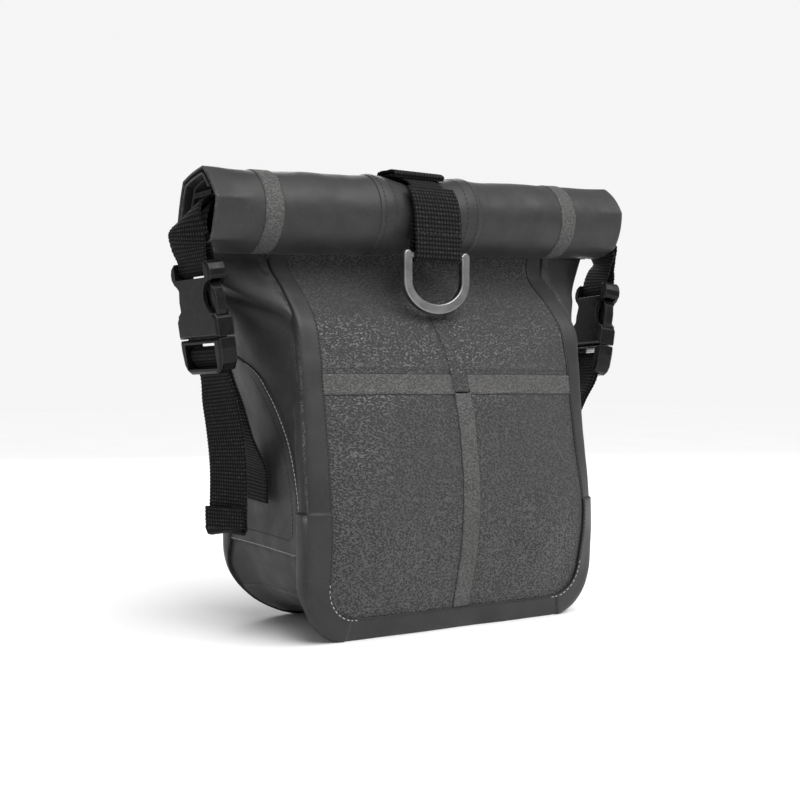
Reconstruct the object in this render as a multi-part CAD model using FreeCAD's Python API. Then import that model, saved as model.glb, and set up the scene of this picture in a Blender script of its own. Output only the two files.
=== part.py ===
"""Small roll-top pannier bag: welded fabric body, rolled collar, two side-release buckles,
D-ring strap, and a rack rail with two hooks and a lower stay hook on the back.

Row frame: +X to the bag's right as seen from its front, -Y to the front, +Z up, millimetres.
The origin is the middle of the bounding box on the surface that the bag stands on.
"""
import FreeCAD
import Part
import math
import os

V = FreeCAD.Vector

# ---- driving dimensions -------------------------------------------------------------
HALF_W = 100.0              # half the body's width
SHEET = 1.5                 # thickness of a fabric panel
TAPE = 0.85                 # thickness of a seam tape
TAPE_W = 12.0               # width of a seam tape
SEAT = 0.06                 # gap left between two layers that lie on each other
ROLL_SEAT = 0.2             # the same on the roll
RIM_R = 30.0                # corner radius of the front and back panels
ROLL_Y = -19.0              # roll axis, behind the front face
ROLL_Z = 238.0
ROLL_R = 23.6               # outer radius of the roll
ROLL_HALF = 145.0           # half the roll's length
ROLL_SHEET = 2.4            # the flattened collar is two fabrics thick
BACK_Y = 38.0               # outer face of the back panel
SHOULDER_Z = 176.0          # the back panel leans forward above this
THROAT_Z = 207.0            # top of the body panels, just under the roll
BAND_Z = (134.0, 146.0)     # horizontal seam tape
WEB_W = 25.0                # side webbing
WEB_T = 1.4                 # webbing thickness
LOOP_W = 33.0               # centre strap's width
LOOP_T = 1.3
LEAN = math.radians(9.0)    # a buckle's lower end leans inwards
TWIST = math.radians(9.0)   # and its outer face turns to the front
BUCKLE_AT = V(-139.0, ROLL_Y, 165.0)   # middle of the left buckle's mouth
STRAP_X = -6.0              # the centre strap and its ring sit left of the middle
RING_D = 26.0               # the D-ring hangs this far in front of the roll axis
RING_Z = 214.0
RING_HALF = 23.4            # half the ring's width
RING_ARM = 5.8              # width of its flat bow
RING_BAR = 2.1              # radius of its straight bar
RING_DROP = 33.5            # from the bar's axis to the lowest point
TUBE_R = 8.0                # rack tube that the hooks take
TUBE_Y = 58.6
TUBE_Z = 145.0
HOOK_X = 48.0
HOOK_W = 22.0
RAIL_Z = 163.0
STAY_R = 6.2                # rack stay that the lower hook takes
STAY_Y = 57.8
STAY_Z = 52.0

# Distance in front of the roll axis, by height: the panel's edges and its bulging middle.
HEIGHTS = (0.0, 30.0, 62.0, 101.0, 134.0, 156.0, 176.0, 192.0, THROAT_Z)
EDGE_D = (37.0, 38.0, 38.0, 36.0, 33.0, 31.0, 27.0, 13.0, -4.0)
MID_D = (37.0, 46.0, 51.0, 50.0, 45.0, 37.0, 21.0, 9.0, -4.0)
# How far the middle of a side panel stands out past the body's half width, by height.
SIDE_HEIGHTS = (40.0, 70.0, 101.0, 134.0, 156.0, 176.0, 203.0)
SIDE_OUT = (0.0, 0.5, 2.0, 6.0, 12.0, 20.0, 27.0)
# Underside of the bottom panel, from the side panel to the flat middle.
BOTTOM_CURVE = ((-100.0, 40.0), (-97.0, 27.0), (-88.0, 16.0), (-70.0, 8.0), (-48.0, 2.2), (-30.0, 0.0))

parts = {}


def keep(name, *shapes):
    """Stores one node, as one solid or a group of separate solids."""
    parts[name] = shapes[0] if len(shapes) == 1 else Part.makeCompound(list(shapes))


def both(name, shape):
    """Stores a left-hand piece and its mirror image."""
    keep("left_" + name, shape)
    keep("right_" + name, mirrored(shape))


def mirrored(shape):
    return shape.mirror(V(0, 0, 0), V(1, 0, 0))


def box(x, y, z):
    """A box between two coordinates on each axis."""
    return Part.makeBox(x[1] - x[0], y[1] - y[0], z[1] - z[0], V(x[0], y[0], z[0]))


def rod(r, start, end):
    return Part.makeCylinder(r, (end - start).Length, start, end - start)


def spline(points):
    curve = Part.BSplineCurve()
    curve.interpolate(points)
    return curve.toShape()


def prism(points, travel):
    """Extrudes a closed outline of corners."""
    return Part.Face(Part.makePolygon(points + points[:1])).extrude(travel)


def at(table_z, table_d, z):
    """Straight-line reading of a table of values by height."""
    for (z0, z1, d0, d1) in zip(table_z, table_z[1:], table_d, table_d[1:]):
        if z <= z1:
            return d0 + (d1 - d0) * (z - z0) / (z1 - z0)
    return table_d[-1]


# ---- front face ---------------------------------------------------------------------
def front_section(x, outer, inner):
    """The front face's profile at one x, between two distances in front of its surface."""
    bulge = 1 - abs(x / HALF_W) ** 2.5
    line = [ROLL_Y - (e + (m - e) * bulge) for e, m in zip(EDGE_D, MID_D)]
    near = [V(x, y - outer, z) for y, z in zip(line, HEIGHTS)]
    far = [V(x, y - inner, z) for y, z in zip(line, HEIGHTS)]
    return Part.Wire([
        spline(near), Part.makeLine(near[-1], far[-1]),
        spline(far[::-1]), Part.makeLine(far[0], near[0]),
    ])


def front_layer(outer, inner):
    stations = [HALF_W * k for k in (-1, -0.75, -0.4, 0, 0.4, 0.75, 1)]
    return Part.makeLoft([front_section(x, outer, inner) for x in stations], True, False)


def rim_prism(inset, radius, top=THROAT_Z):
    """A block along Y with the rim's outline: straight sides and two round bottom corners."""
    w, r, low = HALF_W - inset, radius, inset
    k = r * (1 - math.sqrt(0.5))
    edges = [
        Part.LineSegment(V(-w, -120, top), V(-w, -120, low + r)).toShape(),
        Part.Arc(V(-w, -120, low + r), V(-w + k, -120, low + k), V(-w + r, -120, low)).toShape(),
        Part.LineSegment(V(-w + r, -120, low), V(w - r, -120, low)).toShape(),
        Part.Arc(V(w - r, -120, low), V(w - k, -120, low + k), V(w, -120, low + r)).toShape(),
        Part.LineSegment(V(w, -120, low + r), V(w, -120, top)).toShape(),
        Part.LineSegment(V(w, -120, top), V(-w, -120, top)).toShape(),
    ]
    return Part.Face(Part.Wire(edges)).extrude(V(0, 240, 0))


def front_face():
    """Four textured quarters, the frame tape round them, and the taped cross seam."""
    rim = rim_prism(0, RIM_R)
    field = rim_prism(TAPE_W + 1, RIM_R - 9)
    panel = front_layer(0, -SHEET).common(rim)
    seam_z = sum(BAND_Z) / 2
    halves = {"lower": (-1, seam_z), "upper": (seam_z, THROAT_Z + 1)}
    for level, span in halves.items():
        quarter = panel.common(box((-HALF_W - 1, 0), (-120, 60), span))
        keep(f"front_panel_{level}_left", quarter)
        other = panel.common(box((0, HALF_W + 1), (-120, 60), span))
        keep(f"front_panel_{level}_right", other)
    tape = front_layer(TAPE + SEAT, SEAT)
    keep("front_frame_tape", tape.common(rim).cut(field))
    upright = box((-TAPE_W / 2, TAPE_W / 2), (-120, 60), (TAPE_W + 1.1, THROAT_Z))
    band = box((-HALF_W + TAPE_W + 1.1, HALF_W - TAPE_W - 1.1), (-120, 60), BAND_Z)
    keep("vertical_seam_tape", tape.common(upright))
    pieces = tape.common(band).cut(box((-TAPE_W / 2 - 0.1, TAPE_W / 2 + 0.1), (-120, 60), (0, 250)))
    keep("horizontal_seam_tape", *pieces.Solids)


# ---- back, sides and bottom ---------------------------------------------------------
THROAT_BACK = ROLL_Y + 14.5     # where the back panel ends under the roll


def back_sheet(outer, inner):
    """The back panel's sheet between two distances behind its outer face."""
    profile = [
        V(-HALF_W, BACK_Y + outer, 0), V(-HALF_W, BACK_Y + outer, SHOULDER_Z),
        V(-HALF_W, THROAT_BACK + outer, THROAT_Z), V(-HALF_W, THROAT_BACK + inner, THROAT_Z),
        V(-HALF_W, BACK_Y + inner, SHOULDER_Z), V(-HALF_W, BACK_Y + inner, 0),
    ]
    return prism(profile, V(2 * HALF_W, 0, 0))


def back_face():
    rim = rim_prism(0, RIM_R)
    keep("back_panel", back_sheet(0, -SHEET).common(rim))
    ring = back_sheet(TAPE + SEAT, SEAT).common(rim)
    field = rim_prism(TAPE_W, RIM_R - 9)
    above_rail = box((-120, 120), (-80, 80), (168, 230))
    keep("back_frame_tape", ring.cut(field).cut(above_rail))
    board = box((-86, 86), (BACK_Y - SHEET - 2.3, BACK_Y - SHEET - 0.1), (20, 171))
    corners = [e for e in board.Edges if abs(e.Vertexes[0].Y - e.Vertexes[-1].Y) > 1]
    holes = [rod(2.7, V(x, 0, z), V(x, 60, z)) for x, z in rail_screw_places()]
    keep("back_board", board.makeFillet(14, corners).cut(Part.makeCompound(holes)))


# How far a side panel stands out across its depth, from front to back.
SIDE_SHARES = (
    (0, 0), (0.1, 0.36), (0.25, 0.73), (0.4, 0.95),
    (0.6, 0.95), (0.75, 0.73), (0.9, 0.36), (1, 0),
)


def side_line(z, out, shift):
    """Points of the left side panel at one level, front to back, moved outwards by shift."""
    front = ROLL_Y - at(HEIGHTS, EDGE_D, z) + SHEET + 0.3
    lean = max(0.0, (z - SHOULDER_Z) / (THROAT_Z - SHOULDER_Z))
    back = BACK_Y + (THROAT_BACK - BACK_Y) * lean - SHEET - 0.3
    spread = shift * out / (out + (back - front) / 2)
    front, back = front - spread, back + spread
    return [V(-HALF_W - out * k - shift, front + (back - front) * t, z) for t, k in SIDE_SHARES]


def side_layer(outer, inner):
    """The side sheet between two shifts, as straight-sided facets from level to level."""
    sections = []
    for z, out in zip(SIDE_HEIGHTS, SIDE_OUT):
        points = side_line(z, out, outer) + side_line(z, out, inner)[::-1]
        sections.append(Part.makePolygon(points + points[:1]))
    return Part.makeLoft(sections, True, True)


# Front edge of the side patch, behind the roll's axis and by height.
PATCH_CURVE = ((26, 158), (5, 149), (-7, 135), (-15, 122), (-22, 109), (-29, 88), (-32, 70), (-31, 55))


def side_face():
    """Side panel and the curved reinforcement patch that carries the lower strap."""
    both("side_panel", side_layer(0, -SHEET))
    x = -HALF_W - 60
    front_curve = [V(x, ROLL_Y + d, z) for d, z in PATCH_CURVE]
    outline = Part.Wire([
        spline(front_curve),
        Part.makeLine(front_curve[-1], V(x, ROLL_Y - 24, 47)),
        Part.makeLine(V(x, ROLL_Y - 24, 47), V(x, ROLL_Y + 50, 44)),
        Part.makeLine(V(x, ROLL_Y + 50, 44), V(x, ROLL_Y + 50, 157)),
        Part.makeLine(V(x, ROLL_Y + 50, 157), front_curve[0]),
    ])
    region = Part.Face(outline).extrude(V(100, 0, 0))
    both("side_patch", side_layer(TAPE + SEAT, SEAT).common(region))


def bottom_profile(shift):
    """The bottom panel's curve from side to side, moved inwards by shift."""
    left = []
    for px, pz in BOTTOM_CURVE:
        left.append(V(px + shift * min(1.0, pz / 20), 0, pz + shift * (1 - min(1.0, pz / 40))))
    right = [V(-p.x, 0, p.z) for p in left[::-1]]
    return left, right


def bottom_sheet(outer, inner, y0, y1):
    """A strip of the curved bottom between two inward shifts."""
    left_out, right_out = bottom_profile(outer)
    left_in, right_in = bottom_profile(inner)
    wire = Part.Wire([
        spline(left_out), Part.makeLine(left_out[-1], right_out[0]), spline(right_out),
        Part.makeLine(right_out[-1], right_in[-1]),
        spline(right_in[::-1]), Part.makeLine(right_in[0], left_in[-1]), spline(left_in[::-1]),
        Part.makeLine(left_in[0], left_out[0]),
    ])
    wire.translate(V(0, y0, 0))
    return Part.Face(wire).extrude(V(0, y1 - y0, 0))


def bottom_face():
    front = ROLL_Y - 35.2
    back = BACK_Y - SHEET - 0.1
    keep("bottom_panel", bottom_sheet(0, SHEET, front, back))
    tape = bottom_sheet(-TAPE - SEAT, -SEAT, front, back)
    both("bottom_tape", tape.common(box((-110, -60), (-120, 80), (5.5, 39.5))))
    board = box((-66, 66), (front + 6, back - 6), (8.2, 10.2))
    uprights = [e for e in board.Edges if abs(e.Vertexes[0].Z - e.Vertexes[-1].Z) > 1]
    keep("bottom_board", board.makeFillet(12, uprights))


# ---- rolled collar ------------------------------------------------------------------
ROLL_TURNS = 1.55
ROLL_PITCH = 3.4                # how much the roll's radius shrinks in a turn
NECK_ANGLE = -60.0              # where the flat throat meets the roll, from +Y upwards
ROLL_TAPE_X = (-116.0, 93.0)    # left edges of the collar's two seam tapes


def roll_point(angle, out):
    """A point of the spiral: angle in degrees from +Y, out from the sheet's outer face."""
    r = ROLL_R - ROLL_PITCH * (angle - NECK_ANGLE) / 360 + out
    a = math.radians(angle)
    return V(0, ROLL_Y + r * math.cos(a), ROLL_Z + r * math.sin(a))


def roll_tube(inner, outer, x0, x1, start=NECK_ANGLE, turns=ROLL_TURNS, throat=False):
    """The spiral sheet, extruded along X. Its first points lead down into the throat."""
    steps = int(turns * 12)
    angles = [start + 360 * turns * k / steps for k in range(steps + 1)]
    skin = [roll_point(a, outer) for a in angles]
    lining = [roll_point(a, inner) for a in angles]
    if throat:
        skin.insert(0, V(0, ROLL_Y + 10.3, 204))
        lining.insert(0, V(0, ROLL_Y + 7.9, 204))
    wire = Part.Wire([
        spline(skin), Part.makeLine(skin[-1], lining[-1]),
        spline(lining[::-1]), Part.makeLine(lining[0], skin[0]),
    ])
    wire.translate(V(x0, 0, 0))
    return Part.Face(wire).extrude(V(x1 - x0, 0, 0))


def rolled_top():
    roll = roll_tube(-ROLL_SHEET, 0, -ROLL_HALF, ROLL_HALF, throat=True)
    below_ends = box((-160, -122), (-60, 30), (190, 213.5))
    keep("roll_collar", roll.cut(below_ends).cut(mirrored(below_ends)))
    for side, x in (("left", ROLL_TAPE_X[0]), ("right", ROLL_TAPE_X[1])):
        band = roll_tube(ROLL_SEAT, TAPE + ROLL_SEAT, x, x + TAPE_W, start=-20, turns=0.74)
        keep(f"{side}_roll_tape", band)
    x = (STRAP_X - 34, STRAP_X + 34)
    keep("roll_reinforcement", roll_tube(ROLL_SEAT, TAPE + ROLL_SEAT, *x, start=-20, turns=0.74))
    keep("mouth_stiffener", box((-142, 142), (ROLL_Y - 10, ROLL_Y + 10), (ROLL_Z + 2.8, ROLL_Z + 5.3)))


# ---- webbing ------------------------------------------------------------------------
def triangle(a, b, c):
    return Part.Face(Part.makePolygon([a, b, c, a]))


def faceted(sections):
    """A closed solid of flat triangles through a row of four-cornered sections."""
    faces = []
    for near, far in zip(sections, sections[1:]):
        for i in range(4):
            j = (i + 1) % 4
            faces += [triangle(near[i], near[j], far[j]), triangle(near[i], far[j], far[i])]
    for a, b, c, d in (sections[0], sections[-1]):
        faces += [triangle(a, b, c), triangle(a, c, d)]
    solid = Part.makeSolid(Part.makeShell(faces))
    if solid.Volume < 0:
        solid.reverse()
    return solid


def strap(centres, across, width, thickness=WEB_T):
    """A flat strap along a line of points, its width along the across vectors, its corners mitred."""
    sections = []
    for k, centre in enumerate(centres):
        before = (centre - centres[k - 1]).normalize() if k else (centres[1] - centre).normalize()
        after = (centres[k + 1] - centre).normalize() if k + 1 < len(centres) else before
        half_turn = before.getAngle(after) / 2
        side = V(across[k]).normalize()
        up = side.cross((before + after).normalize()).normalize() * (thickness / 2 / math.cos(half_turn))
        side = side * (width / 2)
        sections.append([centre + side + up, centre - side + up, centre - side - up, centre + side - up])
    return faceted(sections)


def strap_across_x(path, width, thickness=WEB_T):
    """A strap on the bag's front, whose path is (y, z) pairs and whose width is along X."""
    return strap([V(STRAP_X, y, z) for y, z in path], [V(1, 0, 0)] * len(path), width, thickness)


# ---- buckles ------------------------------------------------------------------------
# A buckle's own frame: u across its width, v out of its outer face, w up along it.
def buckle_axes():
    w = V(-math.sin(LEAN), 0, math.cos(LEAN))
    v = V(-math.cos(TWIST) * math.cos(LEAN), -math.sin(TWIST), -math.cos(TWIST) * math.sin(LEAN))
    v = (v - w * v.dot(w)).normalize()
    return v.cross(w), v, w


def placed(shape):
    """Moves a shape from the buckle's own frame, (u, v, w) as (x, y, z), to the left buckle."""
    u, v, w = buckle_axes()
    o = BUCKLE_AT
    m = FreeCAD.Matrix(u.x, v.x, w.x, o.x, u.y, v.y, w.y, o.y, u.z, v.z, w.z, o.z, 0, 0, 0, 1)
    moved = shape.copy()
    moved.Placement = FreeCAD.Placement(m).multiply(moved.Placement)
    return moved


def out_of_buckle(v_part, w_part):
    """A point of the left buckle's middle plane, in the row frame."""
    _, v, w = buckle_axes()
    return BUCKLE_AT + v * v_part + w * w_part


SOCKET_LENGTH = 41.0
PLUG_LENGTH = 19.0
BUCKLE_HALF = 18.0
BUCKLE_THICK = 12.4
EDGE_CHAMFER = 1.3
RING_DEPTH = 11.0               # the closed ring at the socket's mouth
CAVITY = (15.3, 3.9)            # half width and half thickness of the socket's inside
EAR_FACE = 32.0                 # the socket's face stops here, and its two ears go on
WINDOW_R = 9.6                  # finger window
PRONG_T = 3.5                   # half a prong's thickness


def plate(points, thick, chamfer=0.0):
    """A block from an outline of (u, w) corners, centred on v = 0, with chamfered face edges."""
    block = prism([V(u, -thick / 2, w) for u, w in points], V(0, thick, 0))
    if not chamfer:
        return block
    rims = [e for e in block.Edges if abs(e.Vertexes[0].Y - e.Vertexes[-1].Y) < 1e-6]
    return block.makeChamfer(chamfer, rims)


def two_sided(half):
    """A whole outline from its half at +u."""
    return half + [(-u, w) for u, w in half[::-1]]


def socket():
    """Female half: a flat tube with a finger window each side, and a strap bar between its ears."""
    h, top = BUCKLE_HALF, SOCKET_LENGTH
    half = [(h, 0.4), (h, RING_DEPTH - 0.8), (h - 1.6, RING_DEPTH + 1.4), (h - 1.6, EAR_FACE - 2),
            (h, EAR_FACE + 0.6), (h, top - 5), (h - 1.2, top - 1.8), (h - 3.4, top)]
    body = plate(two_sided(half), BUCKLE_THICK, EDGE_CHAMFER)
    window = Part.makeCylinder(WINDOW_R, 40, V(h + 1.6, -20, 21.6), V(0, 1, 0))
    inside = box((-CAVITY[0], CAVITY[0]), (-CAVITY[1], CAVITY[1]), (-1, 31))
    side_gap = box((CAVITY[0] - 1, h + 5), (-CAVITY[1], CAVITY[1]), (RING_DEPTH + 0.3, 31))
    between_ears = box((-13.6, 13.6), (-9, 9), (EAR_FACE + 0.2, top + 1))
    body = body.cut(Part.makeCompound([window, mirrored(window), inside]))
    body = body.cut(Part.makeCompound([side_gap, mirrored(side_gap), between_ears]))
    bar = box((-14.4, 14.4), (-1.5, 1.5), (36, 39))
    return body.fuse(bar).removeSplitter()


def plug():
    """Male half: a frame with a middle bar and a thin front bar for the webbing, and a guide tongue."""
    h, low = BUCKLE_HALF, -PLUG_LENGTH
    half = [(h, -0.4), (h, -6), (h - 1.0, low + 5), (h - 3.2, low + 1.5), (h - 6.0, low)]
    frame = plate(two_sided(half), BUCKLE_THICK - 0.4, EDGE_CHAMFER)
    frame = frame.cut(box((-13.8, 13.8), (-9, 9), (low + 2.8, -2.6)))
    frame = frame.cut(box((-13.8, 13.8), (-9, 0.2), (low - 1, -2.6)))
    middle_bar = box((-14.4, 14.4), (-1.4, 1.4), (-9.6, -7.0))
    shoulder = box((-13.5, 13.5), (-3.2, 3.2), (-2.7, 0.4))
    tongue = box((-3.2, 3.2), (-2.6, 2.6), (0, 25))
    return frame.fuse([middle_bar, shoulder, tongue]).removeSplitter()


def prong():
    """One sprung arm, with the barb that catches above the socket's ring."""
    outline = [
        (8.6, 0.75), (12.0, 0.75), (13.2, 8), (13.4, RING_DEPTH + 0.5), (16.3, RING_DEPTH + 0.8),
        (17.0, 14.5), (17.2, 20.5), (16.2, 26), (13.6, 29.4), (11.4, 29.4),
        (11.6, 25), (12.8, 20), (12.4, 14), (10.4, 8),
    ]
    block = prism([V(u, -PRONG_T, w) for u, w in outline], V(0, 2 * PRONG_T, 0))
    flat = [e for e in block.Edges if abs(e.Vertexes[0].Y - e.Vertexes[-1].Y) < 1e-6]
    return block.makeChamfer(0.8, [e for e in flat if e.BoundBox.XMin > 15.9])


def buckles():
    both("buckle_socket", placed(socket()))
    both("buckle_plug", placed(plug()))
    arm = prong()
    both("buckle_prong_front", placed(mirrored(arm)))
    both("buckle_prong_rear", placed(arm))


def side_straps():
    """Upper strap from the roll's stiffener to the socket, and lower strap from the bag to the plug."""
    u, _, _ = buckle_axes()
    upper = [
        (-21.0, 71.3), (1.0, 74.0), (5.2, 70.5), (5.0, 58), (2.6, 40.6), (2.45, 35.6), (1.2, 34.2),
        (-1.2, 34.2), (-2.45, 35.6), (-2.6, 40.6), (-0.2, 57), (0.2, 66), (-3.0, 69.6), (-20.0, 67.5),
    ]
    line = [out_of_buckle(*pair) for pair in upper]
    both("upper_strap", strap(line, [u] * len(line), WEB_W))

    sewn_end, leaves = V(-102.6, -8.0, 68.0), V(-103.5, -9.0, 86.0)
    anchor = [sewn_end, leaves, out_of_buckle(-3.5, -20.5), out_of_buckle(-2.55, -11.0)]
    turns = [V(0, 1, 0), V(0, 1, 0), u, u]
    loop = [
        (-2.5, -7.0), (-1.3, -5.4), (1.3, -5.4), (2.5, -7.0),
        (2.5, -10.4), (0.6, -13.0), (-0.9, -15.6), (-1.2, -20.5),
    ]
    bend = [out_of_buckle(*pair) for pair in loop]
    hang = [(-1.0, -45), (-0.4, -80), (0.6, -104.0), (1.8, -105.6), (2.9, -104.0), (2.2, -93.0)]
    tail = [out_of_buckle(*pair) for pair in hang]
    keep("left_lower_strap", strap(anchor + bend + tail, turns + [u] * (len(bend) + len(tail)), WEB_W))

    apart = (leaves - out_of_buckle(-3.5, -20.5)).cross(V(0, 1, 0)).normalize() * 2.2
    if apart.x > 0:
        apart = apart * -1
    near_plug = leaves + (out_of_buckle(-3.5, -20.5) - leaves) * 0.7
    tucked = [near_plug + apart, leaves + apart, sewn_end + V(-2.2, 0, -8)]
    across = turns + [u] * len(bend) + [u + V(0, 0.5, 0), V(0, 1, 0), V(0, 1, 0)]
    keep("right_lower_strap", mirrored(strap(anchor + bend + tucked, across, WEB_W)))


# ---- centre strap and D-ring --------------------------------------------------------
def centre_strap():
    """Strap from the back over the roll, the folded tab on its top, and the ring's loop in front."""
    r = ROLL_R + TAPE + WEB_T / 2 + 0.25
    over = []
    for degrees in range(10, 165, 12):
        a = math.radians(degrees)
        over.append((ROLL_Y + r * math.cos(a), ROLL_Z + r * math.sin(a)))
    lead = [(33.6, 181.3), (22.4, 190.6), (10.6, 222.0)]
    keep("centre_strap", strap_across_x(lead + over, LOOP_W - 1))
    reach = RING_BAR + 0.35 + LOOP_T / 2
    turn = [(RING_D + reach * math.cos(math.radians(a)), RING_Z - reach * math.sin(math.radians(a)))
            for a in range(0, 181, 20)]
    loop = [(28.4, 249.5), (29.4, 245.0), (RING_D + reach, 230.0)] + turn + [(RING_D - reach, 220.0)]
    keep("ring_loop", strap_across_x([(ROLL_Y - d, z) for d, z in loop], LOOP_W, LOOP_T))
    top = ROLL_Z + r + WEB_T
    tab = [
        (ROLL_Y - 7, top - 0.35), (ROLL_Y + 2, top + 0.7), (ROLL_Y + 13, top + 0.4),
        (ROLL_Y + 14.6, top + 1.5), (ROLL_Y + 13, top + 2.4), (ROLL_Y + 2, top + 2.6),
        (ROLL_Y - 6, top + 1.5),
    ]
    keep("folded_tab", strap_across_x(tab, LOOP_W + 3, 1.1))


def bow_edges(half, low, knee, top):
    """A U: two straight sides and a half-ellipse below them, tangent to both."""
    drop = knee - low
    if drop > half:
        ellipse = Part.Ellipse(V(0, 0, low), V(half, 0, knee), V(0, 0, knee))
    else:
        ellipse = Part.Ellipse(V(half, 0, knee), V(0, 0, low), V(0, 0, knee))
    left, middle, right = V(-half, 0, knee), V(0, 0, low), V(half, 0, knee)
    first, last = sorted((ellipse.parameter(left), ellipse.parameter(right)))
    arc = Part.ArcOfEllipse(ellipse, first, last)
    if (arc.value((first + last) / 2) - middle).Length > half:
        arc = Part.ArcOfEllipse(ellipse, last, first + 2 * math.pi)
    return [
        Part.makeLine(V(-half, 0, top), left), arc.toShape(), Part.makeLine(right, V(half, 0, top)),
    ]


def d_ring():
    """Flat-faced D-ring: a round bar in the loop, and a bow hanging from its two ends."""
    y, wide, thick = ROLL_Y - RING_D, RING_ARM, 4.2
    knee = RING_Z - 14.0
    outer = bow_edges(RING_HALF, RING_Z - RING_DROP, knee, RING_Z)
    inner = bow_edges(RING_HALF - wide, RING_Z - RING_DROP + wide, knee, RING_Z)
    ends = []
    for side in (-1, 1):
        a, b = V(side * RING_HALF, 0, RING_Z), V(side * (RING_HALF - wide), 0, RING_Z)
        ends.append(Part.Arc(a, V(side * (RING_HALF - wide / 2), 0, RING_Z + wide / 2), b).toShape())
    outline = Part.Wire(Part.__sortEdges__(outer + inner + ends))
    ring = Part.Face(outline).extrude(V(0, thick, 0))
    rims = [e for e in ring.Edges if e.BoundBox.YLength < 1e-6]
    ring = ring.makeFillet(0.9, rims)
    ring.translate(V(0, y - thick / 2, 0))
    reach = RING_HALF - wide / 2
    ring = ring.fuse(rod(RING_BAR, V(-reach, y, RING_Z), V(reach, y, RING_Z))).removeSplitter()
    ring.translate(V(STRAP_X, 0, 0))
    keep("d_ring", ring)


# ---- rack hardware on the back ------------------------------------------------------
RAIL_Y = (BACK_Y + 0.95, BACK_Y + 7.0)
LOWER_RAIL_HALF = 42.0
RIVET_R = 2.2


def rail_screw_places():
    upper = [(x, RAIL_Z) for x in (-72, -24, 24, 72)]
    lower = [(x, STAY_Z) for x in (-36, 36)]
    return upper + lower


def rail(half_length, z):
    """A T-slot rail along X, with its slot facing backwards."""
    y0, y1 = RAIL_Y
    bar = box((-half_length, half_length), (y0, y1), (z - 9, z + 9))
    mouth = box((-half_length - 1, half_length + 1), (y1 - 2.1, y1 + 1), (z - 3.2, z + 3.2))
    groove = box((-half_length - 1, half_length + 1), (y0 + 1.6, y1 - 2.0), (z - 5.6, z + 5.6))
    return bar.cut(mouth).cut(groove)


def rail_fasteners():
    """Screws that clamp each rail through the back panel and its board, with nut plates inside."""
    y0 = RAIL_Y[0] + 1.6
    screws, washers = [], []
    for x, z in rail_screw_places():
        head = rod(4.0, V(x, y0 + 0.05, z), V(x, y0 + 1.5, z))
        screws.append(head.fuse(rod(1.9, V(x, BACK_Y - 9, z), V(x, y0 + 0.1, z))).removeSplitter())
        ring = rod(6.0, V(x, BACK_Y - 5.6, z), V(x, BACK_Y - 4.0, z))
        nut = rod(3.6, V(x, BACK_Y - 8.2, z), V(x, BACK_Y - 5.5, z))
        washers.append(ring.fuse(nut).removeSplitter().cut(rod(2.0, V(x, 0, z), V(x, 60, z))))
    keep("rail_screws", *screws)
    keep("rail_nuts", *washers)
    bores = [rod(2.05, V(x, 0, z), V(x, 60, z)) for x, z in rail_screw_places()]
    for name in ("mounting_rail", "lower_rail", "back_panel"):
        parts[name] = parts[name].cut(Part.makeCompound(bores))


def hook():
    """Rack hook at the left: a carriage on the rail, an arch over the tube, a notch for the latch."""
    x = (-HOOK_X - HOOK_W / 2, -HOOK_X + HOOK_W / 2)
    face = RAIL_Y[1] + 0.1
    seat_r, wall = TUBE_R + 1.0, 3.69
    carriage = box(x, (face, face + 4.6), (126, 172)).fuse(box(x, (face, face + 5.4), (126, 137)))
    arch = Part.makeCylinder(seat_r + wall, HOOK_W, V(x[0], TUBE_Y, TUBE_Z), V(1, 0, 0))
    arch = arch.fuse(box(x, (face, TUBE_Y), (TUBE_Z, TUBE_Z + seat_r + wall)))
    open_below = box((x[0] - 1, x[1] + 1), (face + 4.6, TUBE_Y + seat_r), (TUBE_Z - 20, TUBE_Z))
    lip_end = box((x[0] - 1, x[1] + 1), (TUBE_Y + seat_r - 0.01, TUBE_Y + 20), (TUBE_Z - 20, TUBE_Z - 5))
    seat = Part.makeCylinder(seat_r, HOOK_W + 2, V(x[0] - 1, TUBE_Y, TUBE_Z), V(1, 0, 0))
    body = arch.cut(open_below).cut(lip_end).fuse(carriage).cut(seat)
    body = body.cut(box((-HOOK_X - 8, -HOOK_X + 8), (face - 1, face + 10), (125, 137.4)))
    pin_y, pin_z = LATCH_PIN
    pin_hole = rod(1.55, V(x[0] - 1, pin_y, pin_z), V(x[1] + 1, pin_y, pin_z))
    clamp_hole = rod(2.3, V(-HOOK_X, 30, RAIL_Z + 1), V(-HOOK_X, 70, RAIL_Z + 1))
    return body.cut(pin_hole).cut(clamp_hole).removeSplitter()


LATCH_PIN = (RAIL_Y[1] + 2.8, 131.0)


def latch():
    """Finger that closes the hook under the tube, with a thumb lip at its free end."""
    x0, width = -HOOK_X - 7.6, 15.2
    y, z = LATCH_PIN
    hub = rod(2.5, V(x0, y, z), V(x0 + width, y, z))
    profile = (
        (0, 2.4), (8, 4.4), (17, 4.6), (18.4, 2.2), (19.0, -5.2),
        (16.2, -5.6), (14.6, 0.4), (8, 0.8), (0, -2.4),
    )
    finger = prism([V(x0, y + a, z + b) for a, b in profile], V(width, 0, 0))
    body = hub.fuse(finger).removeSplitter()
    return body.cut(rod(1.6, V(x0 - 1, y, z), V(x0 + width + 1, y, z)))


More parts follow.
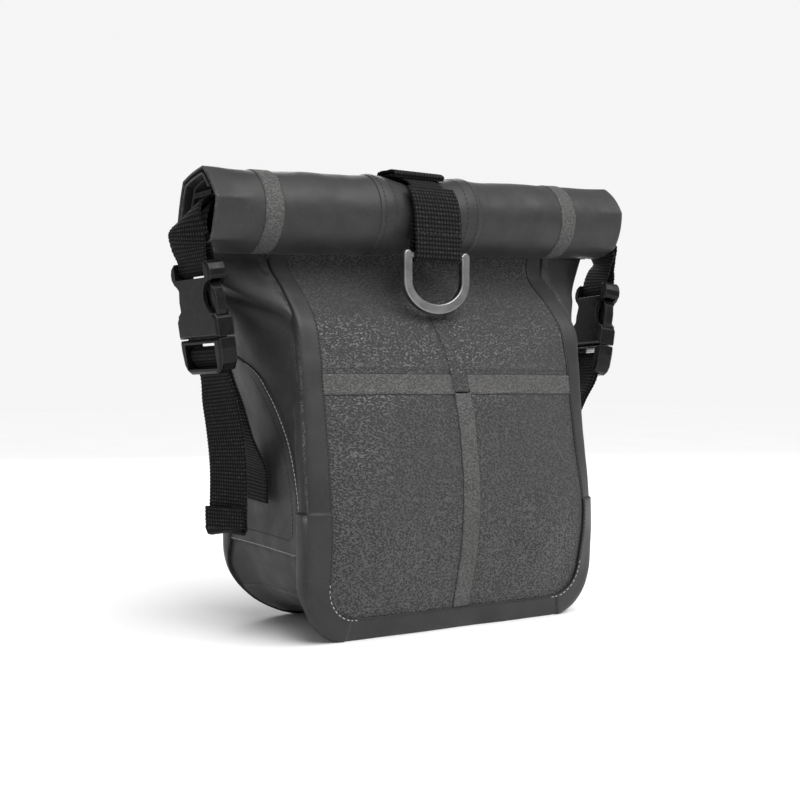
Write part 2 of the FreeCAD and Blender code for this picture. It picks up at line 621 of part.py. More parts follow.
def rack_hooks():
    both("rack_hook", hook())
    x0, x1 = -HOOK_X - HOOK_W / 2, -HOOK_X + HOOK_W / 2
    liner = Part.makeCylinder(TUBE_R + 0.95, HOOK_W, V(x0, TUBE_Y, TUBE_Z), V(1, 0, 0))
    liner = liner.cut(Part.makeCylinder(TUBE_R, HOOK_W + 2, V(x0 - 1, TUBE_Y, TUBE_Z), V(1, 0, 0)))
    both("hook_liner", liner.cut(box((x0 - 1, x1 + 1), (30, 80), (TUBE_Z - 20, TUBE_Z + 0.1))))
    both("hook_latch", latch())
    y, z = LATCH_PIN
    both("latch_pin", rod(1.5, V(x0 + 0.4, y, z), V(x1 - 0.4, y, z)))
    head_y = RAIL_Y[1] + 0.1 + 4.6
    screw = rod(3.9, V(-HOOK_X, head_y + 0.05, RAIL_Z + 1), V(-HOOK_X, head_y + 2.6, RAIL_Z + 1))
    screw = screw.cut(Part.makeCylinder(1.6, 2, V(-HOOK_X, head_y + 1.2, RAIL_Z + 1), V(0, 1, 0)))
    shank = rod(1.9, V(-HOOK_X, RAIL_Y[0] + 2.0, RAIL_Z + 1), V(-HOOK_X, head_y + 0.1, RAIL_Z + 1))
    both("clamp_screw", screw.fuse(shank).removeSplitter())
    nut = box((-HOOK_X - 6, -HOOK_X + 6), (RAIL_Y[0] + 1.75, RAIL_Y[1] - 2.15), (RAIL_Z - 5.2, RAIL_Z + 5.2))
    both("slot_nut", nut.cut(rod(2.0, V(-HOOK_X, 30, RAIL_Z + 1), V(-HOOK_X, 70, RAIL_Z + 1))))


def stay_hook():
    """Lower hook: a carriage on the short rail, and a claw that swivels on a rivet."""
    face = RAIL_Y[1] + 0.1
    shoe = box((-9, 9), (RAIL_Y[0] + 1.9, RAIL_Y[1] - 2.15), (STAY_Z - 5.2, STAY_Z + 5.2))
    shoe = shoe.fuse(box((-9, 9), (RAIL_Y[0] + 3, face), (STAY_Z - 2.9, STAY_Z + 2.9)))
    shoe = shoe.fuse(box((-12, 12), (face, face + 1.8), (STAY_Z - 10, STAY_Z + 10))).removeSplitter()
    shoe = shoe.cut(rod(RIVET_R + 0.05, V(0, 30, STAY_Z), V(0, 70, STAY_Z)))
    keep("stay_hook_carriage", shoe)
    base = face + 1.9
    disc = rod(9.0, V(0, base, STAY_Z), V(0, base + 1.6, STAY_Z))
    ring = Part.makeCylinder(STAY_R + 2.9, 12, V(0, STAY_Y, STAY_Z - 6))
    claw = disc.fuse(ring).cut(Part.makeCylinder(STAY_R, 14, V(0, STAY_Y, STAY_Z - 7)))
    low = STAY_Z - 7
    mouth = prism([V(0, STAY_Y, low), V(-16, STAY_Y - 7.0, low), V(-16, STAY_Y + 10.5, low)], V(0, 0, 14))
    claw = claw.cut(mouth.cut(box((-30, 30), (30, base + 1.6), (0, 90)))).removeSplitter()
    keep("stay_hook_claw", claw.cut(rod(RIVET_R + 0.05, V(0, 30, STAY_Z), V(0, STAY_Y, STAY_Z))))
    keep("stay_hook_rivet", rod(RIVET_R, V(0, face - 2.5, STAY_Z), V(0, base + 1.55, STAY_Z)))


def main():
    front_face()
    back_face()
    side_face()
    bottom_face()
    rolled_top()
    buckles()
    side_straps()
    centre_strap()
    d_ring()
    keep("mounting_rail", rail(80, RAIL_Z))
    keep("lower_rail", rail(LOWER_RAIL_HALF, STAY_Z))
    rail_fasteners()
    rack_hooks()
    stay_hook()

    os.makedirs("parts", exist_ok=True)
    for old in os.listdir("parts"):
        os.remove(os.path.join("parts", old))
    whole = FreeCAD.BoundBox()
    for name, shape in parts.items():
        shape.exportStep(f"parts/{name}.step")
        whole.add(shape.BoundBox)
        if not shape.isValid() or any(s.Volume <= 0 for s in shape.Solids) or not shape.Solids:
            print("check", name, shape.isValid(), [round(s.Volume, 1) for s in shape.Solids])
    corners = (whole.XMin, whole.XMax, whole.YMin, whole.YMax, whole.ZMin, whole.ZMax)
    print(len(parts), "nodes; box", [round(c, 2) for c in corners])


main()
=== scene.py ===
"""Roll-top pannier bag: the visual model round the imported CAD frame, in metres.

Shapes are worked out in millimetres and scaled once, where a mesh is made. Lamps, camera and floor are
placed in metres.
"""
import math
import bpy
import bmesh
import numpy as np
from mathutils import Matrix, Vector, noise


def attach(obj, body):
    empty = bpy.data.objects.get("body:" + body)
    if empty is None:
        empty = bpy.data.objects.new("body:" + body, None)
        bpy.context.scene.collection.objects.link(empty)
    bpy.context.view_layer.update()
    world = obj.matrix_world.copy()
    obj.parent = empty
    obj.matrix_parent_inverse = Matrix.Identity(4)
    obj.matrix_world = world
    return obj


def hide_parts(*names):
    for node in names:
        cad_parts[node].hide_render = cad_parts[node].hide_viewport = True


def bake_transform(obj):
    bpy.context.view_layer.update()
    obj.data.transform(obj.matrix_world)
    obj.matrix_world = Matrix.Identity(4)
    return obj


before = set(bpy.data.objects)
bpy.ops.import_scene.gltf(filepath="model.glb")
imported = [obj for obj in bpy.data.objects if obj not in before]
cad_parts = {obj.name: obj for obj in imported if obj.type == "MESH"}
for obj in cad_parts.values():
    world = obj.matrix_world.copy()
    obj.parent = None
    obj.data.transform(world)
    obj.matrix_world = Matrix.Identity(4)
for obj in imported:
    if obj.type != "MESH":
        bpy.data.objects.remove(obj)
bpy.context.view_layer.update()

MM = 0.001

# ---- shape of the bag: the CAD's sizes, and where the visual departs from them --------
HALF_W = 100.0
SHEET = 1.5                     # fabric panel
TAPE = 0.85                     # seam tape
ROLL_Y, ROLL_Z, ROLL_R = -19.0, 238.0, 23.6
ROLL_HALF = 145.0
ROLL_PITCH = 3.4                # radius lost in a turn
ROLL_FULLER = 1.5               # how much thicker than the CAD's the seen roll is
ROLL_TILT, ROLL_RISE = 0.043, 0.6   # slope of its axis, right end up, and lift in the middle
ROLL_TAPE_X = (-116.0, 93.0)    # left edges of the collar's two seam tapes
NECK_ANGLE = -60.0              # where the roll's sheet starts, in degrees from +Y upwards
BACK_Y = 38.0
SHOULDER_Z = 176.0
TOP_Z = 223.0                   # the panels end inside the roll's underside
WEB_W, WEB_T, WEB_PITCH = 26.4, 1.4, 2.0
LOOP_W, LOOP_T, LOOP_PITCH = 33.0, 1.3, 2.5
RING_D, RING_Z, RING_BAR = 26.0, 214.0, 2.1
STRAP_X = -6.0                  # the centre strap sits left of the middle
LEAN = TWIST = math.radians(9.0)
BUCKLE_AT = np.array((-139.0, ROLL_Y, 165.0))
FRONT_R = 30.0                  # corner radius of the front rim
BACK_R, BACK_WIDE = 46.0, 64.0  # height and width of the back rim's corner, wider than in the CAD
MEAN_R = BACK_R - 2.0           # height where the side's round corner ends
INSET = 1.2                     # how far the sheets keep inside the rims
GLUE = 0.02                     # gap between a tape and the cloth under it
TAPE_W = 12.0                   # width of the seam tapes
SEAM_Z = 140.0                  # middle of the horizontal seam tape
OVERLAY_Z = 71.0                # the corner overlays of the frame tape start below this
PATCH_LOW, PATCH_TOP = 47.0, 156.0
SIDES = (("left", -1.0), ("right", 1.0))

# Depth of the front panel before the roll's axis, at the rim and in the middle.
HEIGHTS = (0.0, 30.0, 62.0, 101.0, 134.0, 156.0, 176.0, 192.0, 207.0, TOP_Z)
EDGE_D = (37.0, 38.0, 38.0, 36.0, 33.0, 31.0, 27.0, 13.0, -3.0, -5.0)
MID_D = (37.0, 46.0, 51.0, 50.0, 45.0, 37.0, 23.0, 10.0, -3.0, -5.0)
# How far the sides swell out.
SIDE_HEIGHTS = (0.0, 40.0, 70.0, 101.0, 134.0, 156.0, 176.0, 203.0, TOP_Z)
SIDE_OUT = (0.0, 0.0, 0.5, 2.0, 6.0, 12.0, 20.5, 30.0, 37.0)
# Front edge of the side patches, measured back from the roll's axis.
PATCH_Z = (47.0, 55.0, 70.0, 88.0, 109.0, 122.0, 135.0, 149.0, 157.0)
PATCH_FRONT = (-28.0, -32.0, -33.0, -30.0, -22.5, -15.0, -7.0, 5.0, 22.0)


def read(table_x, table_y, x):
    """Reads a table along a smooth curve."""
    tx, ty = np.asarray(table_x, float), np.asarray(table_y, float)
    slope = np.gradient(ty, tx)
    x = np.clip(x, tx[0], tx[-1])
    k = np.clip(np.searchsorted(tx, x) - 1, 0, len(tx) - 2)
    h = tx[k + 1] - tx[k]
    t = (x - tx[k]) / h
    start = (2 * t**3 - 3 * t**2 + 1) * ty[k] + (t**3 - 2 * t**2 + t) * h * slope[k]
    return start + (3 * t**2 - 2 * t**3) * ty[k + 1] + (t**3 - t**2) * h * slope[k + 1]


def step(x, low, high):
    t = np.clip((x - low) / (high - low), 0, 1)
    return t * t * (3 - 2 * t)


def hill(x, centre, width):
    return np.exp(-((x - centre) / width) ** 2)


def ripple(points, size, seed=0.0):
    """Smooth noise between -1 and 1 at each point, with features of about that size."""
    flat = points.reshape(-1, 3) / size + seed
    return np.array([noise.noise(Vector(p)) for p in flat]).reshape(points.shape[:-1])


def unit(v):
    return v / np.maximum(np.linalg.norm(v, axis=-1, keepdims=True), 1e-9)


def stack(*parts):
    return np.stack(np.broadcast_arrays(*parts), axis=-1).astype(float)


def spans(*parts):
    """Evenly spaced values over neighbouring spans, each given as start, end and count."""
    rows = [np.linspace(*part) for part in parts]
    return np.concatenate([row[:-1] for row in rows[:-1]] + rows[-1:])


def run(points):
    """Length along a line, from its first point to each of its points."""
    return np.concatenate([[0], np.cumsum(np.linalg.norm(np.diff(points, axis=0), axis=1))])


def normals(points):
    """Unit normal of a grid of points at each of them."""
    return unit(np.cross(np.gradient(points, axis=0), np.gradient(points, axis=1)))


# ---- meshes -------------------------------------------------------------------------
def new_piece(name, verts, faces, uvs=None, wear_and_shade=None):
    """A mesh object from points in millimetres; nothing reaches below the floor."""
    verts = np.array(verts, float)
    verts[:, 2] = np.maximum(verts[:, 2], 0.02)
    mesh = bpy.data.meshes.new(name)
    mesh.from_pydata((verts * MM).tolist(), [], [list(map(int, f)) for f in faces])
    if uvs is not None:
        layer = mesh.uv_layers.new(name="UVMap")
        loop_verts = np.zeros(len(mesh.loops), int)
        mesh.loops.foreach_get("vertex_index", loop_verts)
        layer.data.foreach_set("uv", (np.asarray(uvs)[loop_verts] * MM).astype(np.float32).ravel())
    work = bmesh.new()
    work.from_mesh(mesh)
    bmesh.ops.recalc_face_normals(work, faces=work.faces)
    work.to_mesh(mesh)
    work.free()
    marks = mesh.attributes.new("wear_and_shade", "FLOAT", "POINT")
    marks.data.foreach_set("value", np.zeros(len(verts), np.float32) if wear_and_shade is None else
                           np.asarray(wear_and_shade, np.float32))
    mesh.polygons.foreach_set("use_smooth", [True] * len(mesh.polygons))
    piece = bpy.data.objects.new(name, mesh)
    bpy.context.scene.collection.objects.link(piece)
    return piece


def grid_faces(nu, nv, start, flip):
    i, j = np.meshgrid(np.arange(nu - 1), np.arange(nv - 1), indexing="ij")
    a = (start + i * nv + j).ravel()
    quads = np.stack([a, a + nv, a + nv + 1, a + 1], axis=1)
    return quads[:, ::-1] if flip else quads


def slab(name, top, under, wear_and_shade=None):
    """A closed thin piece between two grids of points of the same shape."""
    nu, nv = top.shape[:2]
    count = nu * nv
    edge = [i * nv for i in range(nu)] + [(nu - 1) * nv + j for j in range(1, nv)]
    edge += [i * nv + nv - 1 for i in range(nu - 2, -1, -1)] + list(range(nv - 2, 0, -1))
    edge = np.array(edge)
    after = np.roll(edge, -1)
    faces = np.concatenate([grid_faces(nu, nv, 0, False), grid_faces(nu, nv, count, True),
                            np.stack([after, edge, edge + count, after + count], axis=1)])
    uv = stack(run(top[nu // 2])[None, :], run(top[:, nv // 2])[:, None]).reshape(-1, 2)
    verts = np.concatenate([top.reshape(-1, 3), under.reshape(-1, 3)])
    if wear_and_shade is not None:
        wear_and_shade = np.tile(np.broadcast_to(wear_and_shade, (nu, nv)).ravel(), 2)
    return new_piece(name, verts, faces, np.concatenate([uv, uv]), wear_and_shade)


def ring_solid(name, rings, uv_along, uv_across):
    """A closed solid through a row of closed rings of points, capped at both ends."""
    count, size = rings.shape[:2]
    i, j = np.meshgrid(np.arange(count - 1), np.arange(size), indexing="ij")
    k = (j + 1) % size
    quads = np.stack([i * size + j, i * size + k, (i + 1) * size + k, (i + 1) * size + j], axis=-1)
    faces = quads.reshape(-1, 4).tolist()
    faces += [list(range(size))[::-1], [(count - 1) * size + m for m in range(size)]]
    uv = stack(uv_across[None, :], uv_along[:, None]).reshape(-1, 2)
    return new_piece(name, rings.reshape(-1, 3), faces, uv)


def use(piece, material, slot, body, *nodes):
    """Gives a piece its finish and its body, and hides the CAD nodes it stands for."""
    piece.data.materials.append(material)
    if body:
        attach(piece, body)
    if nodes:
        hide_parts(*nodes)
    return piece


# ---- materials ----------------------------------------------------------------------
class Shader:
    """A procedural material, built node by node."""

    def __init__(self, name, **sockets):
        self.material = bpy.data.materials.new(name)
        self.material.use_nodes = True
        self.tree = self.material.node_tree
        self.bsdf = self.tree.nodes["Principled BSDF"]
        self.set(self.bsdf, sockets)
        self.height = None

    def set(self, node, sockets):
        for key, value in sockets.items():
            socket = node.inputs[key] if isinstance(key, int) else node.inputs[key.replace("_", " ")]
            if isinstance(value, bpy.types.NodeSocket):
                self.tree.links.new(value, socket)
            else:
                socket.default_value = value

    def add(self, kind, inputs=None, **settings):
        node = self.tree.nodes.new("ShaderNode" + kind)
        for key, value in settings.items():
            setattr(node, key, value)
        self.set(node, inputs or {})
        return node

    def place(self):
        return self.add("TexCoord").outputs["Object"]

    def noise(self, scale, detail=3.0, rough=0.55, at=None):
        vector = at or self.place()
        node = self.add("TexNoise", {"Vector": vector, "Scale": scale, "Detail": detail, "Roughness": rough})
        return node.outputs["Fac"]

    def stretched(self, scale, turn=(0.0, 0.0, 0.0)):
        inputs = {"Vector": self.place(), "Rotation": turn, "Scale": scale}
        return self.add("Mapping", inputs).outputs[0]

    def span(self, value, low, high, to_low=0.0, to_high=1.0):
        node = self.add("MapRange", {0: value, 1: low, 2: high, 3: to_low, 4: to_high},
                        interpolation_type="SMOOTHSTEP")
        return node.outputs[0]

    def math(self, how, a, b=0.0):
        return self.add("Math", {0: a, 1: b}, operation=how).outputs[0]

    def times(self, a, b):
        return self.add("Math", {0: a, 1: b}, operation="MULTIPLY").outputs[0]

    def mix(self, share, a, b):
        node = self.add("Mix", {0: share, 6: a, 7: b}, data_type="RGBA")
        return node.outputs[2]

    def bump(self, height, strength, distance):
        """Adds a layer of relief, distance in millimetres."""
        inputs = {"Height": height, "Strength": strength, "Distance": distance * MM}
        if self.height is not None:
            inputs["Normal"] = self.height
        self.height = self.add("Bump", inputs).outputs[0]

    def wear_and_shade(self):
        return self.add("Attribute", attribute_name="wear_and_shade").outputs["Fac"]

    def done(self, colour, roughness):
        self.set(self.bsdf, {"Base_Color": colour, "Roughness": roughness})
        if self.height is not None:
            self.set(self.bsdf, {"Normal": self.height})
        return self.material


def grey(level, warm=0.0):
    return (level * (1 + warm), level, level * (1 - warm), 1.0)


def wear_specks_and_shade_lines(s, colour, light=0.25):
    """White wear pinpoints where the mark is positive, a line of painted shade where it is negative."""
    near = s.span(s.noise(1500.0, 2.0), 0.47, 0.6)
    some = s.span(s.noise(150.0, 2.0), 0.36, 0.56)
    wear_and_shade = s.wear_and_shade()
    share = s.times(s.times(near, some), s.math("MAXIMUM", wear_and_shade, 0.0))
    # A negative mark paints a near-black line of painted shade.
    line = s.span(wear_and_shade, -0.1, -0.8)
    return s.mix(line, s.mix(share, colour, grey(light)), grey(0.004))


def coated_fabric():
    """Dull black coating over a fine weave, softly creased."""
    s = Shader("coated_fabric", Sheen_Weight=0.05, Sheen_Roughness=0.5, Specular_IOR_Level=0.34)
    weave = s.add("TexVoronoi", {"Vector": s.place(), "Scale": 1500.0}).outputs["Distance"]
    s.bump(weave, 0.16, 0.12)
    s.bump(s.noise(75.0, 4.0), 0.35, 0.55)
    s.bump(s.noise(26.0, 3.0), 0.35, 1.6)
    tone = s.mix(s.span(s.noise(34.0, 5.0, 0.65), 0.32, 0.7), grey(0.015), grey(0.024, 0.01))
    tone = s.mix(s.times(s.span(s.noise(520.0, 2.0), 0.6, 0.75), 0.3), tone, grey(0.055))
    rough = s.span(s.noise(48.0, 4.0), 0.3, 0.75, 0.42, 0.62)
    return s.done(wear_specks_and_shade_lines(s, tone), rough)


def leather_relief(s, depth=0.85):
    """Embossed leather grain, running down across the sheet."""
    grain = s.stretched((760.0, 760.0, 1080.0), (0.0, 0.7, 0.0))
    leather = s.span(s.noise(1.0, 1.0, 0.4, at=grain), 0.38, 0.62)
    fine = s.span(s.noise(1300.0, 2.0), 0.4, 0.6)
    s.bump(fine, 0.3, 0.1)
    s.bump(leather, 1.0, depth)
    return leather, fine


def grained_fabric():
    """The front's leather-grained fabric, glossier on the raised grain, with painted shade in its hollows and
    a painted highlight on its raised tops.
    """
    s = Shader("grained_fabric", Specular_IOR_Level=0.7, Sheen_Weight=0.03)
    leather, fine = leather_relief(s)
    s.bump(s.noise(20.0, 3.0), 0.3, 1.8)
    # Painted shade in the grain's hollows, painted highlight on its raised tops.
    tone = s.mix(leather, grey(0.0006), grey(0.041))
    tone = s.mix(s.times(fine, 0.25), tone, grey(0.05))
    tone = s.mix(s.span(s.noise(40.0, 4.0), 0.35, 0.7, 0.0, 0.12), tone, grey(0.036, 0.02))
    return s.done(wear_specks_and_shade_lines(s, tone), s.span(leather, 0.0, 1.0, 0.75, 0.4))


def seam_tape():
    """The grey welded tape, with a shallower grain."""
    s = Shader("seam_tape", Specular_IOR_Level=0.45, Sheen_Weight=0.05)
    leather, _ = leather_relief(s, 0.3)
    s.bump(s.noise(60.0, 3.0), 0.3, 0.5)
    # Painted shade in the grain's hollows, painted highlight on its raised tops.
    tone = s.mix(leather, grey(0.03, 0.02), grey(0.078, 0.025))
    tone = s.mix(s.span(s.noise(30.0, 5.0), 0.35, 0.7, 0.0, 0.35), tone, grey(0.05, 0.02))
    return s.done(wear_specks_and_shade_lines(s, tone, 0.35), s.span(s.noise(55.0, 3.0), 0.3, 0.7, 0.5, 0.68))


def webbing(name, pitch):
    """Rows of knobbly weft across the strap, crossed by warp yarns."""
    s = Shader(name, Specular_IOR_Level=0.14, Sheen_Weight=0.04, Sheen_Roughness=0.4)
    split = s.add("SeparateXYZ", {0: s.add("TexCoord").outputs["UV"]})
    turn = 2 * math.pi / MM
    rib = s.math("COSINE", s.times(split.outputs[1], turn / pitch))
    yarn = s.math("COSINE", s.times(split.outputs[0], turn / (0.85 * pitch)))
    thread = s.times(s.math("ADD", yarn, 1.0), 0.5)
    knob = s.times(s.span(rib, -0.7, 0.9), s.math("ADD", s.times(thread, 0.75), 0.25))
    s.bump(s.noise(1600.0, 2.0), 0.35, 0.08)
    s.bump(knob, 0.9, 0.32)
    # Painted highlight on the knob tops and painted shade between them; the paler flecks on the knobs are
    # painted glints.
    tone = s.mix(s.times(knob, knob), grey(0.001), grey(0.019))
    tone = s.mix(s.times(s.span(s.noise(700.0, 3.0), 0.5, 0.7, 0.0, 0.6), knob), tone, grey(0.07))
    return s.done(wear_specks_and_shade_lines(s, tone, 0.2), s.span(thread, 0.0, 1.0, 0.85, 0.6))


def moulded(name, tone, rough, light, bevel=0.5):
    """Moulded plastic or rubber: fine pebble, faint scuffs, softened edges with a painted highlight along
    them.
    """
    s = Shader(name, Specular_IOR_Level=0.2)
    s.height = s.add("Bevel", {"Radius": bevel * MM}, samples=4).outputs[0]
    flat = s.add("NewGeometry").outputs["Normal"]
    turned = s.add("VectorMath", {0: s.height, 1: flat}, operation="DOT_PRODUCT").outputs["Value"]
    s.bump(s.noise(900.0, 3.0), 0.12, 0.06)
    s.bump(s.noise(120.0, 2.0), 0.1, 0.15)
    scuff = s.noise(1.0, 3.0, at=s.stretched((260.0, 260.0, 1400.0)))
    colour = s.mix(s.span(scuff, 0.62, 0.8, 0.0, 0.35), grey(tone), grey(light))
    colour = s.mix(s.span(s.noise(60.0, 4.0), 0.35, 0.7, 0.0, 0.5), colour, grey(tone * 1.7))
    # Painted highlight along the softened edges.
    colour = s.mix(s.span(turned, 0.99, 0.9, 0.0, 0.8), colour, grey(light * 5))
    return s.done(colour, s.span(s.noise(210.0, 4.0), 0.3, 0.7, rough, rough + 0.14))


def metal(name, tone, rough, grain):
    """Brushed or cast metal, streaked where the scales of its grain differ."""
    s = Shader(name, Metallic=1.0)
    s.height = s.add("Bevel", {"Radius": 0.4 * MM}, samples=4).outputs[0]
    streak = s.noise(1.0, 4.0, at=s.stretched(grain))
    s.bump(streak, 0.12, 0.08)
    colour = s.mix(streak, grey(tone * 0.75), grey(tone * 1.15, 0.01))
    colour = s.mix(s.span(s.noise(300.0, 4.0), 0.58, 0.75, 0.0, 0.5), colour, grey(tone * 0.45))
    return s.done(colour, s.span(s.noise(180.0, 4.0), 0.3, 0.7, rough, rough + 0.16))


def thread(name, tone):
    """Twisted sewing thread."""
    s = Shader(name, Specular_IOR_Level=0.25)
    twist = s.noise(1.0, 2.0, at=s.stretched((1500.0, 1500.0, 4000.0)))
    s.bump(twist, 0.5, 0.1)
    colour = s.mix(s.span(twist, 0.35, 0.65), grey(tone * 0.5), grey(tone))
    return s.done(colour, s.span(s.noise(800.0), 0.3, 0.7, 0.6, 0.8))


COATED = coated_fabric()
GRAINED = grained_fabric()
TAPED = seam_tape()
WEBBING = webbing("side_webbing", WEB_PITCH)
BROAD_WEBBING = webbing("centre_webbing", LOOP_PITCH)
BUCKLE = moulded("buckle_plastic", 0.0045, 0.24, 0.012, 0.6)
STEEL = metal("ring_steel", 0.26, 0.3, (90.0, 1600.0, 1600.0))
ALUMINIUM = metal("rail_aluminium", 0.2, 0.34, (40.0, 1500.0, 1500.0))
SCREW = metal("screw_steel", 0.5, 0.26, (700.0, 700.0, 700.0))
BOARD = moulded("board_plastic", 0.008, 0.55, 0.03)
HOOK = moulded("hook_plastic", 0.008, 0.33, 0.03)
RUBBER = moulded("liner_rubber", 0.014, 0.62, 0.04, 0.3)
PALE_THREAD = thread("pale_thread", 0.42)
DARK_THREAD = thread("dark_thread", 0.03)

CAD_FINISH = {
    "buckle_plastic": BUCKLE, "ring_steel": STEEL, "rail_aluminium": ALUMINIUM, "screw_steel": SCREW,
    "board_plastic": BOARD, "hook_plastic": HOOK, "liner_rubber": RUBBER,
}
CAD_KEPT = {
    "buckle_plastic": [f"{side}_buckle_{part}" for side, _ in SIDES
                       for part in ("socket", "plug", "prong_front", "prong_rear")],
    "ring_steel": ["d_ring"],
    "rail_aluminium": ["mounting_rail", "lower_rail"],
    "board_plastic": ["back_board", "bottom_board", "mouth_stiffener"],
    "hook_plastic": ["left_rack_hook", "right_rack_hook", "left_hook_latch", "right_hook_latch",
                     "stay_hook_carriage", "stay_hook_claw"],
    "liner_rubber": ["left_hook_liner", "right_hook_liner"],
    "screw_steel": ["rail_screws", "rail_nuts", "left_latch_pin", "right_latch_pin", "left_clamp_screw",
                    "right_clamp_screw", "left_slot_nut", "right_slot_nut", "stay_hook_rivet"],
}


def finish_cad_nodes():
    """The hard nodes keep their CAD meshes and get their finishes."""
    for finish, names in CAD_KEPT.items():
        for name in names:
            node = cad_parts[name]
            node.data.materials.clear()
            node.data.materials.append(CAD_FINISH[finish])


# ---- surfaces of the body -----------------------------------------------------------
def front_y(x, z):
    """The front panel's height field: bulging, fuller low down on each side of the seam."""
    edge, middle = read(HEIGHTS, EDGE_D, z), read(HEIGHTS, MID_D, z)
    share = np.clip(np.abs(x) / HALF_W, 0, 1) ** 2.5
    y = ROLL_Y - (edge + (middle - edge) * (1 - share))
    y = y - 5.5 * hill(np.abs(x), 62, 28) * hill(z, 62, 40) - 4.0 * hill(x, 88, 16) * hill(z, 62, 30)
    y = y + 2.0 * hill(z, 140, 9) * (1 - share) + 1.4 * hill(x, 0, 9) * step(z, 12, 40)
    return y - 1.2 * hill(z, 178, 12) * hill(np.abs(x), 45, 34)


def front_points(x, z, out):
    """Points of the front surface, moved outwards along its normal."""
    x, z = np.broadcast_arrays(np.asarray(x, float), np.asarray(z, float))
    y = front_y(x, z)
    slope_x = front_y(x + 0.5, z) - front_y(x - 0.5, z)
    slope_z = front_y(x, z + 0.5) - front_y(x, z - 0.5)
    normal = unit(stack(slope_x, -np.ones_like(y), slope_z))
    points = stack(x, y, z)
    crumple = 0.9 * ripple(points, 34.0) + 0.35 * ripple(points, 13.0, 5.0)
    crumple = crumple * step(HALF_W - np.abs(x), 2, 20)
    return points + normal * (out + crumple)[..., None]


def rim(p, radius, wide=None):
    """A point of the U-shaped rim and its inward direction: p 0..1 bottom, 1..2 corner, 2..3 side.

    The corner is radius high and wide across; p below 0 is the left half.
    """
    wide = wide or radius
    side = np.where(np.asarray(p) < 0, -1.0, 1.0)
    q = np.abs(np.asarray(p, float))
    flat = HALF_W - wide
    turn = np.clip(q - 1, 0, 1) * math.pi / 2
    x = np.clip(q, 0, 1) * flat + wide * np.sin(turn)
    z = radius * (1 - np.cos(turn)) + np.clip(q - 2, 0, 1) * (TOP_Z - radius)
    return side * x, z, -side * np.sin(turn), np.cos(turn)


def rim_steps(top=3.0):
    """Rim places from one top to the other, denser round the corner and at the overlay's end."""
    half = spans((0, 1, 30), (1, 2, 46), (2, 2.12, 12), (2.12, 2.24, 52), (2.24, top, 66))
    return np.concatenate([-half[:0:-1], half])


def back_y(z):
    """The back panel: upright, then leaning forward into the neck."""
    return read((0, 150, 168, SHOULDER_Z, 184, 207, TOP_Z), (38, 38, 37.6, 35.6, 29.5, -3.5, -7.5), z)


def side_front(z):
    """Depth of the side's front edge at a height."""
    return front_y(np.full_like(z, HALF_W), z) + INSET


def side_place(z):
    """Place on the rim of a height on the side, above the round corner."""
    return 2 + (z - MEAN_R) / (TOP_Z - MEAN_R)


def side_share(y, z):
    """Share of the way from the side's front edge to its back edge."""
    near = side_front(z)
    return (y - near) / (BACK_Y - INSET - near)


def gusset(p, t, out):
    """Side and bottom skin from the front rim (t 0) to the back rim (t 1)."""
    p, t = np.broadcast_arrays(np.asarray(p, float), np.asarray(t, float))
    place = np.abs(p)
    fx, fz, fnx, fnz = rim(p, BACK_R - 4.0, BACK_WIDE - 8.0)
    # A narrow flange at the front follows the frame tape's own corner.
    flange_x, flange_z, _, _ = rim(p, FRONT_R + 1.0)
    inside = step(t, 0.0, 0.1)
    fx, fz = flange_x + (fx - flange_x) * inside, flange_z + (fz - flange_z) * inside
    bx, bz, bnx, bnz = rim(p, BACK_R, BACK_WIDE)
    x, z = fx + (bx - fx) * t, fz + (bz - fz) * t
    near, far = side_front(fz), back_y(bz) - INSET
    y = near + (far - near) * t
    inward = unit(stack(fnx + bnx, 0, fnz + bnz))
    arch = np.sin(math.pi * np.clip(t, 0, 1))
    swell = read(SIDE_HEIGHTS, SIDE_OUT, z) * arch ** (0.9 - 0.35 * step(z, 170, 195))
    # Drawn in round the bottom corner, and a little along the whole lower side.
    tuck = step(place, 1.0, 1.35) * (1 - step(place, 1.75, 2.1))
    swell = swell - 5.0 * tuck * step(arch, 0.0, 0.75)
    swell = swell - 1.6 * arch * step(place, 1.6, 2.0) * (1 - step(z, 120, 190))
    # The fold under the roll's end: a slanting hollow, and a ridge before it.
    fold = (y - near) - 9.0 - (z - 175)
    swell = swell - 4.2 * hill(fold, 0, 8.5) * step(z, 160, 178) * (1 - step(z, 192, 205))
    swell = swell + 1.8 * hill(fold, -13, 7) * step(z, 172, 184) * (1 - step(z, 198, 207)) * arch
    points = stack(x, y, z)
    waves = 0.9 * ripple(points, 30.0, 3.0) + 0.3 * ripple(points, 12.0, 8.0)
    swell = swell + arch * step(place, 1.0, 1.8) * waves
    return points - inward * (swell + out)[..., None]


def gusset_out(p, t, out):
    """The gusset's points moved out along the true normal of its surface."""
    points = gusset(p, t, 0.0)
    normal = normals(points)
    mid = normal[normal.shape[0] // 2, normal.shape[1] // 2]
    here = points[points.shape[0] // 2, points.shape[1] // 2]
    outward = here - np.array((0.0, here[1], 110.0))
    sign = 1.0 if float(mid @ outward) > 0 else -1.0
    return points + sign * normal * np.asarray(out, float)[..., None]


